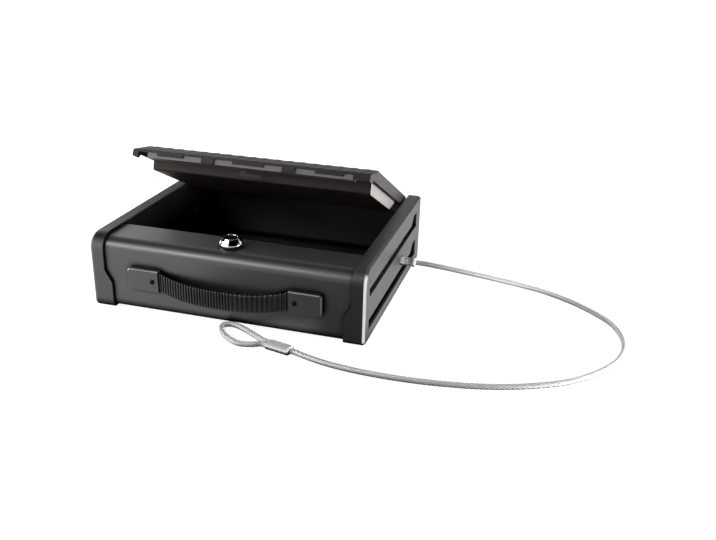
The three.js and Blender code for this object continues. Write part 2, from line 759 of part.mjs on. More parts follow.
const hingeFinish = metal(0x4a4a4c, 0.4);
const backLeaf = block(-hingeHalf + GAP, hingeHalf - GAP,
  hingeY + KNUCKLE_RADIUS - LEAF, hingeY + KNUCKLE_RADIUS, hingeZ - BACK_LEAF_HEIGHT, hingeZ);
const lidLeaf = block(-hingeHalf + GAP, hingeHalf - GAP,
  -LID_LEAF_DEPTH, 0, KNUCKLE_RADIUS - LEAF, KNUCKLE_RADIUS);
add(safe, 'hinge_back_leaf',
  hingeLeaf(backLeaf, knuckleSpans(0), knuckleSpans(1), hingeY, hingeZ), hingeFinish);
add(lid, 'hinge_lid_leaf', hingeLeaf(lidLeaf, knuckleSpans(1), knuckleSpans(0), 0, 0), hingeFinish);
add(safe, 'hinge_pin', rod('x', PIN_RADIUS, -hingeHalf, hingeHalf, 0, hingeY, hingeZ),
  metal(0x9a9a9c, 0.3));

// Key lock: bellied chrome barrel, turning plug, nut under the strip, cam and its screw. The
// lock's own frame has its axis at the middle of the barrel.

function lockBarrel() {
  const bore = PLUG_RADIUS + GAP;
  const foot = caseTop + GAP;
  return turned('z', [
    [bore, barrelBottom],
    [LOCK_THREAD_RADIUS, barrelBottom],
    [LOCK_THREAD_RADIUS, foot],
    [LOCK_FOOT_RADIUS, foot],
    [LOCK_BELLY_RADIUS - LOCK_ROUND, foot + LOCK_BELLY_HEIGHT - LOCK_BELLY_ROUND],
    [LOCK_BELLY_RADIUS, foot + LOCK_BELLY_HEIGHT],
    [LOCK_BELLY_RADIUS - LOCK_ROUND / 2, foot + LOCK_BELLY_HEIGHT + LOCK_BELLY_ROUND],
    [LOCK_TOP_RADIUS, lockTop - LOCK_ROUND],
    [LOCK_TOP_RADIUS - LOCK_ROUND, lockTop],
    [bore + LOCK_ROUND, lockTop],
    [bore, lockTop - LOCK_ROUND],
    [bore, barrelBottom],
  ], 0, 0, 0);
}

function lockPlug() {
  const top = lockTop - PLUG_SINK;
  const half = TANG / 2;
  const core = rod('z', PLUG_RADIUS, barrelBottom, top, 0, 0, 0, TURN_STEPS);
  const tang = block(-half, half, -half, half, camTop - CAM_SHEET, barrelBottom + 1);
  const keyway = block(-KEYWAY_LENGTH / 2, KEYWAY_LENGTH / 2, -KEYWAY_WIDTH / 2, KEYWAY_WIDTH / 2,
    top - KEYWAY_DEPTH, top + 1);
  const screwHole = rod('z', CAM_SCREW_RADIUS + GAP,
    camTop - CAM_SHEET - 1, camTop + CAM_SCREW_LENGTH, 0, 0, 0);
  return cut(join(core, tang), keyway, screwHole);
}

function lockNut() {
  const top = caseTop - SHEET - GAP;
  const hole = rod('z', LOCK_THREAD_RADIUS + GAP, top - LOCK_NUT_HEIGHT - 1, top + 1, 0, 0, 0, TURN_STEPS);
  return cut(prism('z', hexagon(LOCK_NUT_FLATS), top - LOCK_NUT_HEIGHT, top), hole);
}

function lockCam() {
  const half = CAM_WIDTH / 2;
  const tip = CAM_TIP / 2;
  const hole = TANG / 2 + GAP;
  const arm = prism('z', outline([
    [-half, -half, CAM_ROUND],
    [half, -half, CAM_ROUND],
    [CAM_REACH, -tip, CAM_ROUND],
    [CAM_REACH, tip, CAM_ROUND],
    [half, half, CAM_ROUND],
    [-half, half, CAM_ROUND],
  ]), camTop - CAM_SHEET, camTop);
  return cut(arm, block(-hole, hole, -hole, hole, camTop - CAM_SHEET - 1, camTop + 1));
}

function camScrew() {
  const under = camTop - CAM_SHEET - GAP;
  return turned('z', [
    [0, under - CAM_SCREW_HEAD_HEIGHT],
    [CAM_SCREW_HEAD, under - CAM_SCREW_HEAD_HEIGHT],
    [CAM_SCREW_HEAD, under],
    [CAM_SCREW_RADIUS, under],
    [CAM_SCREW_RADIUS, under + CAM_SCREW_LENGTH],
    [0, under + CAM_SCREW_LENGTH],
  ], 0, 0, 0, SMALL_STEPS);
}

add(lock, 'lock_barrel', lockBarrel(), metal(0xe6e7ea, 0.08));
add(lock, 'lock_plug', lockPlug(), metal(0x23262e, 0.3));
add(lock, 'lock_nut', lockNut(), metal(0x9a9b9d, 0.35));
add(lock, 'lock_cam', lockCam(), metal(0x8d8e90, 0.35));
add(lock, 'cam_screw', camScrew(), metal(0x8d8e90, 0.3));

// Handle covers: open toward the strap, with a recessed screw seat

function handleCover() {
  const low = COVER_LEVEL - COVER_HEIGHT / 2;
  const high = COVER_LEVEL + COVER_HEIGHT / 2;
  const back = caseFace - GAP;
  const front = caseFace - GAP - COVER_PROUD;
  const face = (inset) => outline([
    [coverInner, low + inset],
    [coverOuter - inset, low + inset, COVER_RADIUS],
    [coverOuter - inset, high - inset, COVER_RADIUS],
    [coverInner, high - inset],
  ]);
  const body = loft([
    { at: back, points: face(0) },
    { at: front + COVER_CHAMFER, points: face(0) },
    { at: front, points: face(COVER_CHAMFER) },
  ], (point, y) => [point.x, y, point.y]);
  const room = TONGUE_WIDTH / 2 + GAP;
  const strapY = (front + back) / 2;
  const mouth = block(coverInner - 1, coverInner + COVER_MOUTH, strapY - TONGUE_THICK / 2 - GAP,
    strapY + TONGUE_THICK / 2 + GAP, COVER_LEVEL - room, COVER_LEVEL + room);
  const screwX = coverInner + HANDLE_SCREW_INSET;
  const hole = rod('y', SCREW_HOLE, front - 1, back + 1, screwX, 0, COVER_LEVEL);
  const seat = rod('y', HANDLE_HEAD_RADIUS + GAP, front - 1, front + HANDLE_SEAT, screwX, 0, COVER_LEVEL);
  return cut(body, mouth, hole, seat);
}

const cover = handleCover();
sides.forEach(({ name, hand }) => add(safe, `handle_cover_${name}`, hand(cover), plastic(0x2f2f31, 0.5)));

// Strap: it leaves each cover level, sags and bows out between them, and carries ribs

function strapSection(thick, width) {
  const radius = thick * 0.45;
  return outline([
    [-thick / 2, -width / 2, radius], [thick / 2, -width / 2, radius],
    [thick / 2, width / 2, radius], [-thick / 2, width / 2, radius],
  ], 1);
}

function strap() {
  const endY = caseFace - GAP - COVER_PROUD / 2;
  const bow = STRAP_REACH + endY - STRAP_THICK / 2;
  const free = coverInner - GAP;
  const share = (x) => Math.min(Math.abs(x) / free, 1);
  const swell = (x) => 1 - share(x) ** STRAP_FULLNESS;
  const lean = (x) => (share(x) < 1
    ? Math.atan((bow * STRAP_FULLNESS * share(x) ** (STRAP_FULLNESS - 1) * Math.sign(x)) / free) : 0);
  const full = strapSection(STRAP_THICK, STRAP_WIDTH);
  const narrow = strapSection(STRAP_THICK - 2 * STRAP_GROOVE, STRAP_WIDTH - 2 * STRAP_GROOVE);
  const tongue = strapSection(TONGUE_THICK, TONGUE_WIDTH);
  const tongueEnd = coverInner + TONGUE_LENGTH;
  const closePitch = (free + STRAP_OPEN_FROM) / STRAP_CLOSE_RIBS;
  const openPitch = (free - STRAP_OPEN_FROM) / STRAP_OPEN_RIBS;
  const ribMiddles = [
    ...Array.from({ length: STRAP_CLOSE_RIBS }, (_, i) => -free + (i + 0.5) * closePitch),
    ...Array.from({ length: STRAP_OPEN_RIBS }, (_, i) => STRAP_OPEN_FROM + (i + 0.5) * openPitch),
  ];
  const ribs = ribMiddles.flatMap((middle) => [
    { at: middle - RIB_FOOT / 2, points: narrow },
    { at: middle - RIB_CREST / 2, points: full },
    { at: middle + RIB_CREST / 2, points: full },
    { at: middle + RIB_FOOT / 2, points: narrow },
  ]);
  const rings = [
    { at: -tongueEnd, points: tongue },
    { at: -free, points: tongue },
    ...ribs,
    { at: free, points: tongue },
    { at: tongueEnd, points: tongue },
  ];
  const place = (point, x) => [
    x - point.x * Math.sin(lean(x)),
    endY - bow * swell(x) + point.x * Math.cos(lean(x)),
    COVER_LEVEL - STRAP_SAG * swell(x) + point.y,
  ];
  const holes = sides.map(({ sign }) => rod('y', SCREW_HOLE + GAP, endY - STRAP_THICK, endY + STRAP_THICK,
    sign * (coverInner + HANDLE_SCREW_INSET), 0, COVER_LEVEL));
  return cut(loft(rings, place), ...holes);
}

add(safe, 'handle_strap', strap(), plastic(0x151516, 0.55));

// Handle screws and the nuts inside the case

function handleScrew() {
  const front = caseFace - GAP - COVER_PROUD;
  const seat = front + HANDLE_SEAT - GAP;
  const end = caseFace + SHEET + 2 * GAP + SMALL_NUT_HEIGHT + 1;
  return turned('y', [
    [0, seat - HANDLE_HEAD_HEIGHT], [HANDLE_HEAD_RADIUS * 0.6, seat - HANDLE_HEAD_HEIGHT],
    [HANDLE_HEAD_RADIUS, seat - HANDLE_HEAD_HEIGHT / 2], [HANDLE_HEAD_RADIUS, seat],
    [SCREW_RADIUS, seat], [SCREW_RADIUS, end], [0, end],
  ], coverInner + HANDLE_SCREW_INSET, 0, COVER_LEVEL, SMALL_STEPS);
}

function handleNut() {
  const x = coverInner + HANDLE_SCREW_INSET;
  const near = caseFace + SHEET + GAP;
  const around = hexagon(SMALL_NUT_FLATS).map((p) => new THREE.Vector2(p.x + x, p.y + COVER_LEVEL));
  const hole = rod('y', SCREW_HOLE, near - 1, near + SMALL_NUT_HEIGHT + 1, x, 0, COVER_LEVEL);
  return cut(prism('y', around, near, near + SMALL_NUT_HEIGHT), hole);
}

sides.forEach(({ name, hand }) => {
  add(safe, `handle_screw_${name}`, hand(handleScrew()), metal(0x2c2c2e, 0.35));
  add(safe, `handle_nut_${name}`, hand(handleNut()), metal(0x8a8c90, 0.35));
});

// Tether: ferrule with a stud through the side plate, nut, cable, sleeve and eye

function ferrule() {
  const outer = WIDTH / 2 + FERRULE_OUT;
  const seat = sideOuter + GAP;
  return turned('x', [
    [0, sideInner - FERRULE_STUD],
    [FERRULE_STUD_RADIUS, sideInner - FERRULE_STUD],
    [FERRULE_STUD_RADIUS, seat],
    [FERRULE_RADIUS, seat],
    [FERRULE_RADIUS, outer - FERRULE_COLLAR - 0.6],
    [FERRULE_COLLAR_RADIUS, outer - FERRULE_COLLAR],
    [FERRULE_COLLAR_RADIUS, outer - 1],
    [FERRULE_COLLAR_RADIUS - 1, outer],
    [0, outer],
  ], 0, FERRULE_FROM_FRONT, FERRULE_LEVEL);
}

function anchorNut() {
  const far = sideInner - GAP;
  const around = hexagon(ANCHOR_NUT_FLATS).map((p) => (
    new THREE.Vector2(p.x + FERRULE_FROM_FRONT, p.y + FERRULE_LEVEL)));
  const hole = rod('x', FERRULE_STUD_RADIUS + GAP, far - ANCHOR_NUT_HEIGHT - 1, far + 1, 0,
    FERRULE_FROM_FRONT, FERRULE_LEVEL, TURN_STEPS);
  return cut(prism('x', around, far - ANCHOR_NUT_HEIGHT, far), hole);
}

// Where the free cable runs, on the ground at its own radius once it has come down
const cableStart = WIDTH / 2 + FERRULE_OUT + GAP;
const CABLE_ROUTE = [
  [cableStart, FERRULE_FROM_FRONT, FERRULE_LEVEL],
  [cableStart + 15, FERRULE_FROM_FRONT, FERRULE_LEVEL - 0.3],
  [238, 182, 37], [262, 184.8, 33.6], [288, 191.3, 28.3], [314, 198.4, 22.4], [341, 204.6, 16.4],
  [368, 206.8, 11.3], [395, 202, 7], [418, 191.6, 4.6], [438, 176.5, CABLE_REST],
  [453.5, 159.5, CABLE_REST], [464, 140.5, CABLE_REST], [470.6, 119, CABLE_REST],
  [472.9, 97, CABLE_REST], [470.4, 74.5, CABLE_REST], [463.5, 53.5, CABLE_REST],
  [451.6, 32.5, CABLE_REST], [435.5, 12, CABLE_REST], [414.5, -8.2, CABLE_REST],
  [388, -24.4, CABLE_REST], [358, -38.2, CABLE_REST], [325, -48.8, CABLE_REST],
  [290, -55.8, CABLE_REST], [253, -60.3, CABLE_REST], [215, -61.6, CABLE_REST],
  [180, -60, CABLE_REST], [148, -55.2, CABLE_REST], [122, -48.5, CABLE_REST + 0.4],
].map(([x, y, z]) => new THREE.Vector3(x, y, z));

// The sleeve lies on the ground in line with the end of the cable
const SLEEVE_NEAR = new THREE.Vector2(102, -43);
const SLEEVE_FAR = new THREE.Vector2(72, -35.6);
const sleeveRun = SLEEVE_FAR.clone().sub(SLEEVE_NEAR).normalize();
const sleeveSide = new THREE.Vector2(-sleeveRun.y, sleeveRun.x);
const sleeveLevel = SLEEVE_HEIGHT / 2;

function nearSleeve(end, along, aside) {
  const place = end.clone().addScaledVector(sleeveRun, along).addScaledVector(sleeveSide, aside);
  return new THREE.Vector3(place.x, place.y, sleeveLevel);
}

function sleeve() {
  const length = SLEEVE_FAR.distanceTo(SLEEVE_NEAR);
  const oval = (inset) => outline([
    [-SLEEVE_WIDTH / 2 + inset, -SLEEVE_HEIGHT / 2 + inset, SLEEVE_HEIGHT / 2 - inset - 0.1],
    [SLEEVE_WIDTH / 2 - inset, -SLEEVE_HEIGHT / 2 + inset, SLEEVE_HEIGHT / 2 - inset - 0.1],
    [SLEEVE_WIDTH / 2 - inset, SLEEVE_HEIGHT / 2 - inset, SLEEVE_HEIGHT / 2 - inset - 0.1],
    [-SLEEVE_WIDTH / 2 + inset, SLEEVE_HEIGHT / 2 - inset, SLEEVE_HEIGHT / 2 - inset - 0.1],
  ]);
  return loft([
    { at: 0, points: oval(SLEEVE_ROUND) },
    { at: SLEEVE_ROUND, points: oval(0) },
    { at: length - SLEEVE_ROUND, points: oval(0) },
    { at: length, points: oval(SLEEVE_ROUND) },
  ], (point, along) => nearSleeve(SLEEVE_NEAR, along, point.x)
    .add(new THREE.Vector3(0, 0, point.y)).toArray());
}

const strand = CABLE_RADIUS + GAP;
const EYE_ROUTE = [
  nearSleeve(SLEEVE_FAR, GAP, -strand),
  nearSleeve(SLEEVE_FAR, 2 * CABLE_RADIUS, -strand),
  ...[[50, -20.4, CABLE_REST + 0.5], [35, -10.6, CABLE_REST], [20, -3, CABLE_REST], [8.6, -1.1, CABLE_REST],
    [1.6, -6, CABLE_REST], [3.4, -16, CABLE_REST], [12, -27.4, CABLE_REST], [24, -37, CABLE_REST],
    [37.4, -43.2, CABLE_REST], [50.6, -42.4, CABLE_REST + 0.5],
  ].map(([x, y, z]) => new THREE.Vector3(x, y, z)),
  nearSleeve(SLEEVE_FAR, 2 * CABLE_RADIUS, strand),
  nearSleeve(SLEEVE_FAR, GAP, strand),
];

const aluminium = metal(0xb9bbbd, 0.35);
const cableFinish = metal(0xc4c6c8, 0.3);
const cableEnd = [nearSleeve(SLEEVE_NEAR, -2 * CABLE_RADIUS, 0), nearSleeve(SLEEVE_NEAR, -GAP, 0)];
add(safe, 'cable_ferrule', ferrule(), aluminium);
add(safe, 'anchor_nut', anchorNut(), metal(0x8a8c90, 0.35));
add(safe, 'tether_cable', tube([...CABLE_ROUTE, ...cableEnd], CABLE_RADIUS, CABLE_STEPS), cableFinish);
add(safe, 'crimp_sleeve', sleeve(), aluminium);
add(safe, 'cable_eye', tube(EYE_ROUTE, CABLE_RADIUS, EYE_STEPS), cableFinish);

export default safe;
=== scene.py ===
# %% [markdown]
# # A portable car safe, dressed in Blender
#
# The safe is a folded steel case between two moulded end caps. Its lid stands part open, a key lock
# sits in the front strip, a ribbed strap hangs between two covers on the front, and a steel cable
# with a crimped eye comes out of the right cap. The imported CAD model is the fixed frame: it says
# where every piece is, in metres, with +Z up and the handle toward -Y. Blender adds what the CAD
# leaves plain: rounded edges, a stranded cable, a soft strap, a polished lock, paint and light.

# %% Load the frame
import json
import math

import bmesh
import bpy
import numpy as np
from mathutils import Matrix, Vector


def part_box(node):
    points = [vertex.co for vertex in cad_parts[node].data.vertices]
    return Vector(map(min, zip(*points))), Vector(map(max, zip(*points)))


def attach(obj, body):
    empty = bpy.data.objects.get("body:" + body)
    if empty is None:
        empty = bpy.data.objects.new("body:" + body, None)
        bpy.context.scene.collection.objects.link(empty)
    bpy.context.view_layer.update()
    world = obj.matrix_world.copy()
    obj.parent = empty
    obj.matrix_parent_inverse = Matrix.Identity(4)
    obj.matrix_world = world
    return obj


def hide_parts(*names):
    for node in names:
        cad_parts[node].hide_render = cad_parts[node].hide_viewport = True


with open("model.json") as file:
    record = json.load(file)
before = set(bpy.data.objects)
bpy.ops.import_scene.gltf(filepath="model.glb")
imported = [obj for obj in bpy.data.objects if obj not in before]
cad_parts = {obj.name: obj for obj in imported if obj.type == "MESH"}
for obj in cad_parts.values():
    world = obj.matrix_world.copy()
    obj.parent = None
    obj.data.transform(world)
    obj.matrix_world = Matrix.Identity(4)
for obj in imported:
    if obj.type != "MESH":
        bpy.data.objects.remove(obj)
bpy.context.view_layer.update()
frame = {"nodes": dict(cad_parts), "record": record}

nodes = frame["nodes"]
MM = 0.001

# %% [markdown]
# ## The camera
#
# A camera is settled first, because each later choice is judged through it. Its place, its aim and
# its lens came from matching the straight edges of the case to the picture by least squares, so
# they are written as plain numbers. The aim is given as three turns, as a photographer would: left,
# down, and a small tilt of the frame. The view transform is Standard, so that a colour in a
# material is the colour on the screen.

# %% Camera
CAMERA_PLACE = Vector((0.399195, -0.988718, 0.477418))
CAMERA_YAW = -0.2668
CAMERA_PITCH = 0.4080
CAMERA_ROLL = 0.0296
SENSOR_WIDTH = 36.0
FOCAL_IN_PIXELS = 844.42
FRAME_WIDTH = 716
CLIP_NEAR = 0.05
CLIP_FAR = 50

ahead = Vector((
    math.sin(CAMERA_YAW) * math.cos(CAMERA_PITCH),
    math.cos(CAMERA_YAW) * math.cos(CAMERA_PITCH),
    -math.sin(CAMERA_PITCH),
))
level_right = Vector((math.cos(CAMERA_YAW), -math.sin(CAMERA_YAW), 0))
level_up = level_right.cross(ahead)
right = math.cos(CAMERA_ROLL) * level_right + math.sin(CAMERA_ROLL) * level_up
up = -math.sin(CAMERA_ROLL) * level_right + math.cos(CAMERA_ROLL) * level_up

camera = bpy.data.objects.new("camera", bpy.data.cameras.new("camera"))
camera.data.sensor_fit = "HORIZONTAL"
camera.data.sensor_width = SENSOR_WIDTH
camera.data.lens = FOCAL_IN_PIXELS * SENSOR_WIDTH / FRAME_WIDTH
camera.data.clip_start = CLIP_NEAR
camera.data.clip_end = CLIP_FAR
facing = Matrix((right, up, -ahead)).transposed().to_4x4()
camera.matrix_world = Matrix.Translation(CAMERA_PLACE) @ facing
bpy.context.scene.collection.objects.link(camera)
bpy.context.scene.camera = camera
bpy.context.scene.view_settings.view_transform = "Standard"
print("lens:", round(camera.data.lens, 2), "mm")

# %% [markdown]
# ## Helpers for making meshes
#
# Every new piece here is a skin over a row of rings, be it a cable, a strap or a turned lock. One
# helper joins the rings with four-sided faces and closes the two ends, and one makes the object. It
# sits at the origin with its place in its points, as the CAD pieces do, so that a texture in object
# coordinates has one scale everywhere.

# %% Mesh helpers
SHARP_ANGLE = math.radians(35)


def object_from(name, bm, sharp=SHARP_ANGLE):
    """An object made of this bmesh, smooth except at edges sharper than the angle."""
    mesh = bpy.data.meshes.new(name)
    bmesh.ops.recalc_face_normals(bm, faces=bm.faces)
    for face in bm.faces:
        face.smooth = True
    for edge in bm.edges:
        edge.smooth = len(edge.link_faces) == 2 and edge.calc_face_angle(0) < sharp
    bm.to_mesh(mesh)
    bm.free()
    made = bpy.data.objects.new(name, mesh)
    bpy.context.scene.collection.objects.link(made)
    return made


def skin(name, rings, closed=False, sharp=SHARP_ANGLE):
    """One surface over rings of as many points each. Its UV map runs along, then round."""
    bm = bmesh.new()
    uv = bm.loops.layers.uv.new("along_and_round")
    count = len(rings[0])
    rows = [[bm.verts.new(point) for point in ring] for ring in rings]
    spans = len(rows) if closed else len(rows) - 1
    for i in range(spans):
        near, far = rows[i], rows[(i + 1) % len(rows)]
        for j in range(count):
            k = (j + 1) % count
            face = bm.faces.new((near[j], near[k], far[k], far[j]))
            corners = ((i, j), (i, j + 1), (i + 1, j + 1), (i + 1, j))
            for loop, (along, around) in zip(face.loops, corners):
                loop[uv].uv = (along / spans, around / count)
    if not closed:
        bm.faces.new(rows[0])
        bm.faces.new(rows[-1])
    return object_from(name, bm, sharp)


print("helpers: object_from, skin")

# %% [markdown]
# ## A curve through chosen points
#
# A cable bends smoothly, so its line is a centripetal spline, which never overshoots where points
# are close together. New points are set along it at even steps, as the rope's rings need them.

# %% Curve helper
SPLINE_STEPS = 24


def spline(points, spacing):
    """Points about one spacing apart on the centripetal curve through these points."""
    knots = [2 * points[0] - points[1], *points, 2 * points[-1] - points[-2]]
    fine = []
    for a, b, c, d in zip(knots, knots[1:], knots[2:], knots[3:]):
        t1 = (b - a).length ** 0.5
        t2 = t1 + (c - b).length ** 0.5
        t3 = t2 + (d - c).length ** 0.5
        for i in range(SPLINE_STEPS):
            t = t1 + (t2 - t1) * i / SPLINE_STEPS
            p1 = a * (t1 - t) / t1 + b * t / t1
            p2 = b * (t2 - t) / (t2 - t1) + c * (t - t1) / (t2 - t1)
            p3 = c * (t3 - t) / (t3 - t2) + d * (t - t2) / (t3 - t2)
            q1 = p1 * (t2 - t) / t2 + p2 * t / t2
            q2 = p2 * (t3 - t) / (t3 - t1) + p3 * (t - t1) / (t3 - t1)
            fine.append(q1 * (t2 - t) / (t2 - t1) + q2 * (t - t1) / (t2 - t1))
    fine.append(points[-1])
    run = np.concatenate([[0], np.cumsum([(q - p).length for p, q in zip(fine, fine[1:])])])
    count = max(2, round(run[-1] / spacing))
    wanted = np.linspace(0, run[-1], count + 1)
    columns = [np.interp(wanted, run, [point[i] for point in fine]) for i in range(3)]
    return [Vector(xyz) for xyz in zip(*columns)], float(run[-1])


print("helper: spline")

# %% [markdown]
# ## The run of the tether cable
#
# The cable is shown from end to end. It leaves the ferrule level, comes down to the ground on the
# right, swings round in front of the case and ends in a crimped sleeve. Its line is written in
# millimetres, with y counted from the front of the case.

# %% The cable's line
CASE_MIDDLE_Y = 142
CABLE_RADIUS = 3.4 * MM
CABLE_REST = 3.45
CABLE_START = 198.3
CABLE_LINE = [
    (CABLE_START, 182, 39), (213.3, 182, 38.7), (238, 182, 37), (262, 184.8, 33.6), (288, 191.3, 28.3),
    (314, 198.4, 22.4), (341, 204.6, 16.4), (368, 206.8, 11.3), (395, 202, 7), (418, 191.6, 4.6),
    (438, 176.5, CABLE_REST), (453.5, 159.5, CABLE_REST), (464, 140.5, CABLE_REST),
    (470.6, 119, CABLE_REST), (472.9, 97, CABLE_REST), (470.4, 74.5, CABLE_REST),
    (463.5, 53.5, CABLE_REST), (451.6, 32.5, CABLE_REST), (435.5, 12, CABLE_REST),
    (414.5, -8.2, CABLE_REST), (388, -24.4, CABLE_REST), (358, -38.2, CABLE_REST),
    (325, -48.8, CABLE_REST), (290, -55.8, CABLE_REST), (253, -60.3, CABLE_REST),
    (215, -61.6, CABLE_REST), (180, -60, CABLE_REST), (148, -55.2, CABLE_REST),
    (122, -48.5, CABLE_REST + 0.4),
]
SLEEVE_HEIGHT = 9.2
SLEEVE_WIDTH = 17
SLEEVE_NEAR = Vector((102, -43, SLEEVE_HEIGHT / 2))
SLEEVE_FAR = Vector((72, -35.6, SLEEVE_HEIGHT / 2))
STRAND_SET = 3.7
SLEEVE_GAP = 0.3
SLEEVE_LEAD = 6.8
ROPE_STEP = 1.0 * MM
sleeve_run = (SLEEVE_FAR - SLEEVE_NEAR).normalized()
sleeve_side = Vector((-sleeve_run.y, sleeve_run.x, 0))


def in_metres(point):
    """A point written in millimetres from the front of the case, as a point of the frame."""
    x, y, z = point
    return Vector((x, y - CASE_MIDDLE_Y, z)) * MM


into_sleeve = [SLEEVE_NEAR - sleeve_run * SLEEVE_LEAD, SLEEVE_NEAR - sleeve_run * SLEEVE_GAP]
cable_points = [in_metres(point) for point in [*CABLE_LINE, *into_sleeve]]
cable_path, cable_length = spline(cable_points, ROPE_STEP)
print("cable:", round(cable_length, 3), "m along", len(cable_path), "points")

# %% [markdown]
# ## A wire rope from one ring
#
# A wire rope is strands laid round a core like the threads of a screw. Modelling each strand as its
# own tube would show gaps and cross over at bends. Instead one ring has a bulge for each strand, and
# it turns a little at every step along the line, so the skin comes out as a rope. The strands are
# drawn tight against each other, so the grooves stay shallow. Nothing but the rope's own lay turns
# the ring as it is carried along.

# %% Rope helper
STRANDS = 6
POINTS_PER_STRAND = 8
LAY_LENGTH = 34 * MM
GROOVE_DEPTH = 0.16
STRAND_FULLNESS = 0.7
ROPE_SHARP = math.radians(75)


def carried_frames(path):
    """Two directions square to the path at each point, carried along it without twisting."""
    before, after = [path[0], *path[:-1]], [*path[1:], path[-1]]
    tangents = [(q - p).normalized() for p, q in zip(before, after)]
    side = Vector((0, 0, 1)).cross(tangents[0]).normalized()
    frames = []
    for tangent in tangents:
        side = (side - tangent * side.dot(tangent)).normalized()
        frames.append((side, tangent.cross(side)))
    return frames


def rope(name, path, radius):
    """A rope of laid strands along the path."""
    count = STRANDS * POINTS_PER_STRAND
    rings = []
    run = 0.0
    for i, ((side, over), point) in enumerate(zip(carried_frames(path), path)):
        run += (point - path[i - 1]).length if i else 0.0
        turn = 2 * math.pi * run / LAY_LENGTH
        ring = []
        for j in range(count):
            angle = 2 * math.pi * j / count
            bulge = abs(math.cos(STRANDS * angle / 2))
            reach = radius * (1 - GROOVE_DEPTH * (1 - bulge ** STRAND_FULLNESS))
            outward = side * math.cos(angle + turn) + over * math.sin(angle + turn)
            ring.append(point + outward * reach)
        rings.append(ring)
    return skin(name, rings, sharp=ROPE_SHARP)


tether_rope = rope("tether_rope", cable_path, CABLE_RADIUS)
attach(tether_rope, "case")
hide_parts("tether_cable")
print("rope:", len(tether_rope.data.polygons), "faces, lay", LAY_LENGTH / MM, "mm")

# %% [markdown]
# ## The eye of the cable
#
# The cable's end turns back on itself and both strands go into one pressed sleeve, side by side.
# The loop is pinched at the sleeve and round at its tip, and it lies flat. It is the same rope on
# a line of its own, from the sleeve's far end and back to it.

# %% Eye
EYE_LINE = [
    (50, -20.4, CABLE_REST + 0.5), (35, -10.6, CABLE_REST), (20, -3, CABLE_REST), (8.6, -1.1, CABLE_REST),
    (1.6, -6, CABLE_REST), (3.4, -16, CABLE_REST), (12, -27.4, CABLE_REST), (24, -37, CABLE_REST),
    (37.4, -43.2, CABLE_REST), (50.6, -42.4, CABLE_REST + 0.5),
]


def beside_sleeve(end, along, aside):
    """A point near the sleeve: so far along its run from one end, and so far to its side."""
    return end + sleeve_run * along + sleeve_side * aside


leaving, returning = (
    [beside_sleeve(SLEEVE_FAR, along, aside) for along in (SLEEVE_GAP, SLEEVE_LEAD)]
    for aside in (-STRAND_SET, STRAND_SET)
)
eye_points = [in_metres(point) for point in [*leaving, *EYE_LINE, *reversed(returning)]]
eye_path, eye_length = spline(eye_points, ROPE_STEP)
eye_rope = rope("eye_rope", eye_path, CABLE_RADIUS)
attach(eye_rope, "case")
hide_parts("cable_eye")
print("eye:", round(eye_length, 3), "m of rope in the loop")

# %% [markdown]
# ## The pressed sleeve
#
# A press closes an oval aluminium tube over the two strands, and its dies leave shallow bands
# across it. The sleeve is a row of oval rings: a rounded lip at each end, and between them bands
# that are a few tenths of a millimetre slimmer. Oval rings come from a superellipse, which is
# flatter on its long sides than a plain ellipse, as a pressed tube is.

# %% Sleeve
SLEEVE_STEPS = 48
SLEEVE_SQUARENESS = 2.6
PRESS_BANDS = 4
PRESS_DEPTH = 0.2
RAMP_OUT = 0.4
RAMP_IN = 0.2
LIP_ROUND = 1.2
LIP_SHOULDER = (0.35, 0.45)


def oval(half_width, half_height, steps=SLEEVE_STEPS, squareness=SLEEVE_SQUARENESS):
    """Points round a superellipse."""
    points = []
    for i in range(steps):
        angle = 2 * math.pi * i / steps
        c, s = math.cos(angle), math.sin(angle)
        x = half_width * math.copysign(abs(c) ** (2 / squareness), c)
        z = half_height * math.copysign(abs(s) ** (2 / squareness), s)
        points.append((x, z))
    return points


sleeve_length = (SLEEVE_FAR - SLEEVE_NEAR).length
lip_stations = [(0.0, LIP_ROUND), LIP_SHOULDER, (LIP_ROUND, 0.0)]
sleeve_stations = list(lip_stations)
band = (sleeve_length - 2 * LIP_ROUND) / (2 * PRESS_BANDS + 1)
for i in range(PRESS_BANDS):
    start = LIP_ROUND + band * (2 * i + 1)
    end = start + band
    sleeve_stations += [(start - RAMP_OUT, 0.0), (start + RAMP_IN, PRESS_DEPTH)]
    sleeve_stations += [(end - RAMP_IN, PRESS_DEPTH), (end + RAMP_OUT, 0.0)]
sleeve_stations += [(sleeve_length - at, inset) for at, inset in reversed(lip_stations)]
sleeve_rings = []
for at, inset in sleeve_stations:
    ring = oval(SLEEVE_WIDTH / 2 - inset, SLEEVE_HEIGHT / 2 - inset)
    placed = [beside_sleeve(SLEEVE_NEAR, at, x) + Vector((0, 0, z)) for x, z in ring]
    sleeve_rings.append([in_metres(point) for point in placed])
pressed_sleeve = skin("pressed_sleeve", sleeve_rings)
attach(pressed_sleeve, "case")
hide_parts("crimp_sleeve")
print("sleeve:", round(sleeve_length, 1), "mm long with", PRESS_BANDS, "pressed bands")

# %% [markdown]
# ## Turned pieces
#
# The ferrule, the lock's barrel and the screws are turned on a lathe, so one helper makes them all.
# It carries a profile, a row of radius and place in millimetres, round an axis.

# %% Lathe helper
TURN_STEPS = 96


def turned(name, profile, centre, axis="z", steps=TURN_STEPS, closed=False):
    """A lathe-turned piece: a profile of (radius, place along the axis) in mm, about this centre."""
    rings = []
    for radius, along in profile:
        ring = []
        for i in range(steps):
            angle = 2 * math.pi * i / steps
            a, b = radius * math.cos(angle), radius * math.sin(angle)
            local = {"x": (along, a, b), "y": (b, along, a), "z": (a, b, along)}[axis]
            ring.append(centre + Vector(local) * MM)
        rings.append(ring)
    return skin(name, rings, closed=closed)


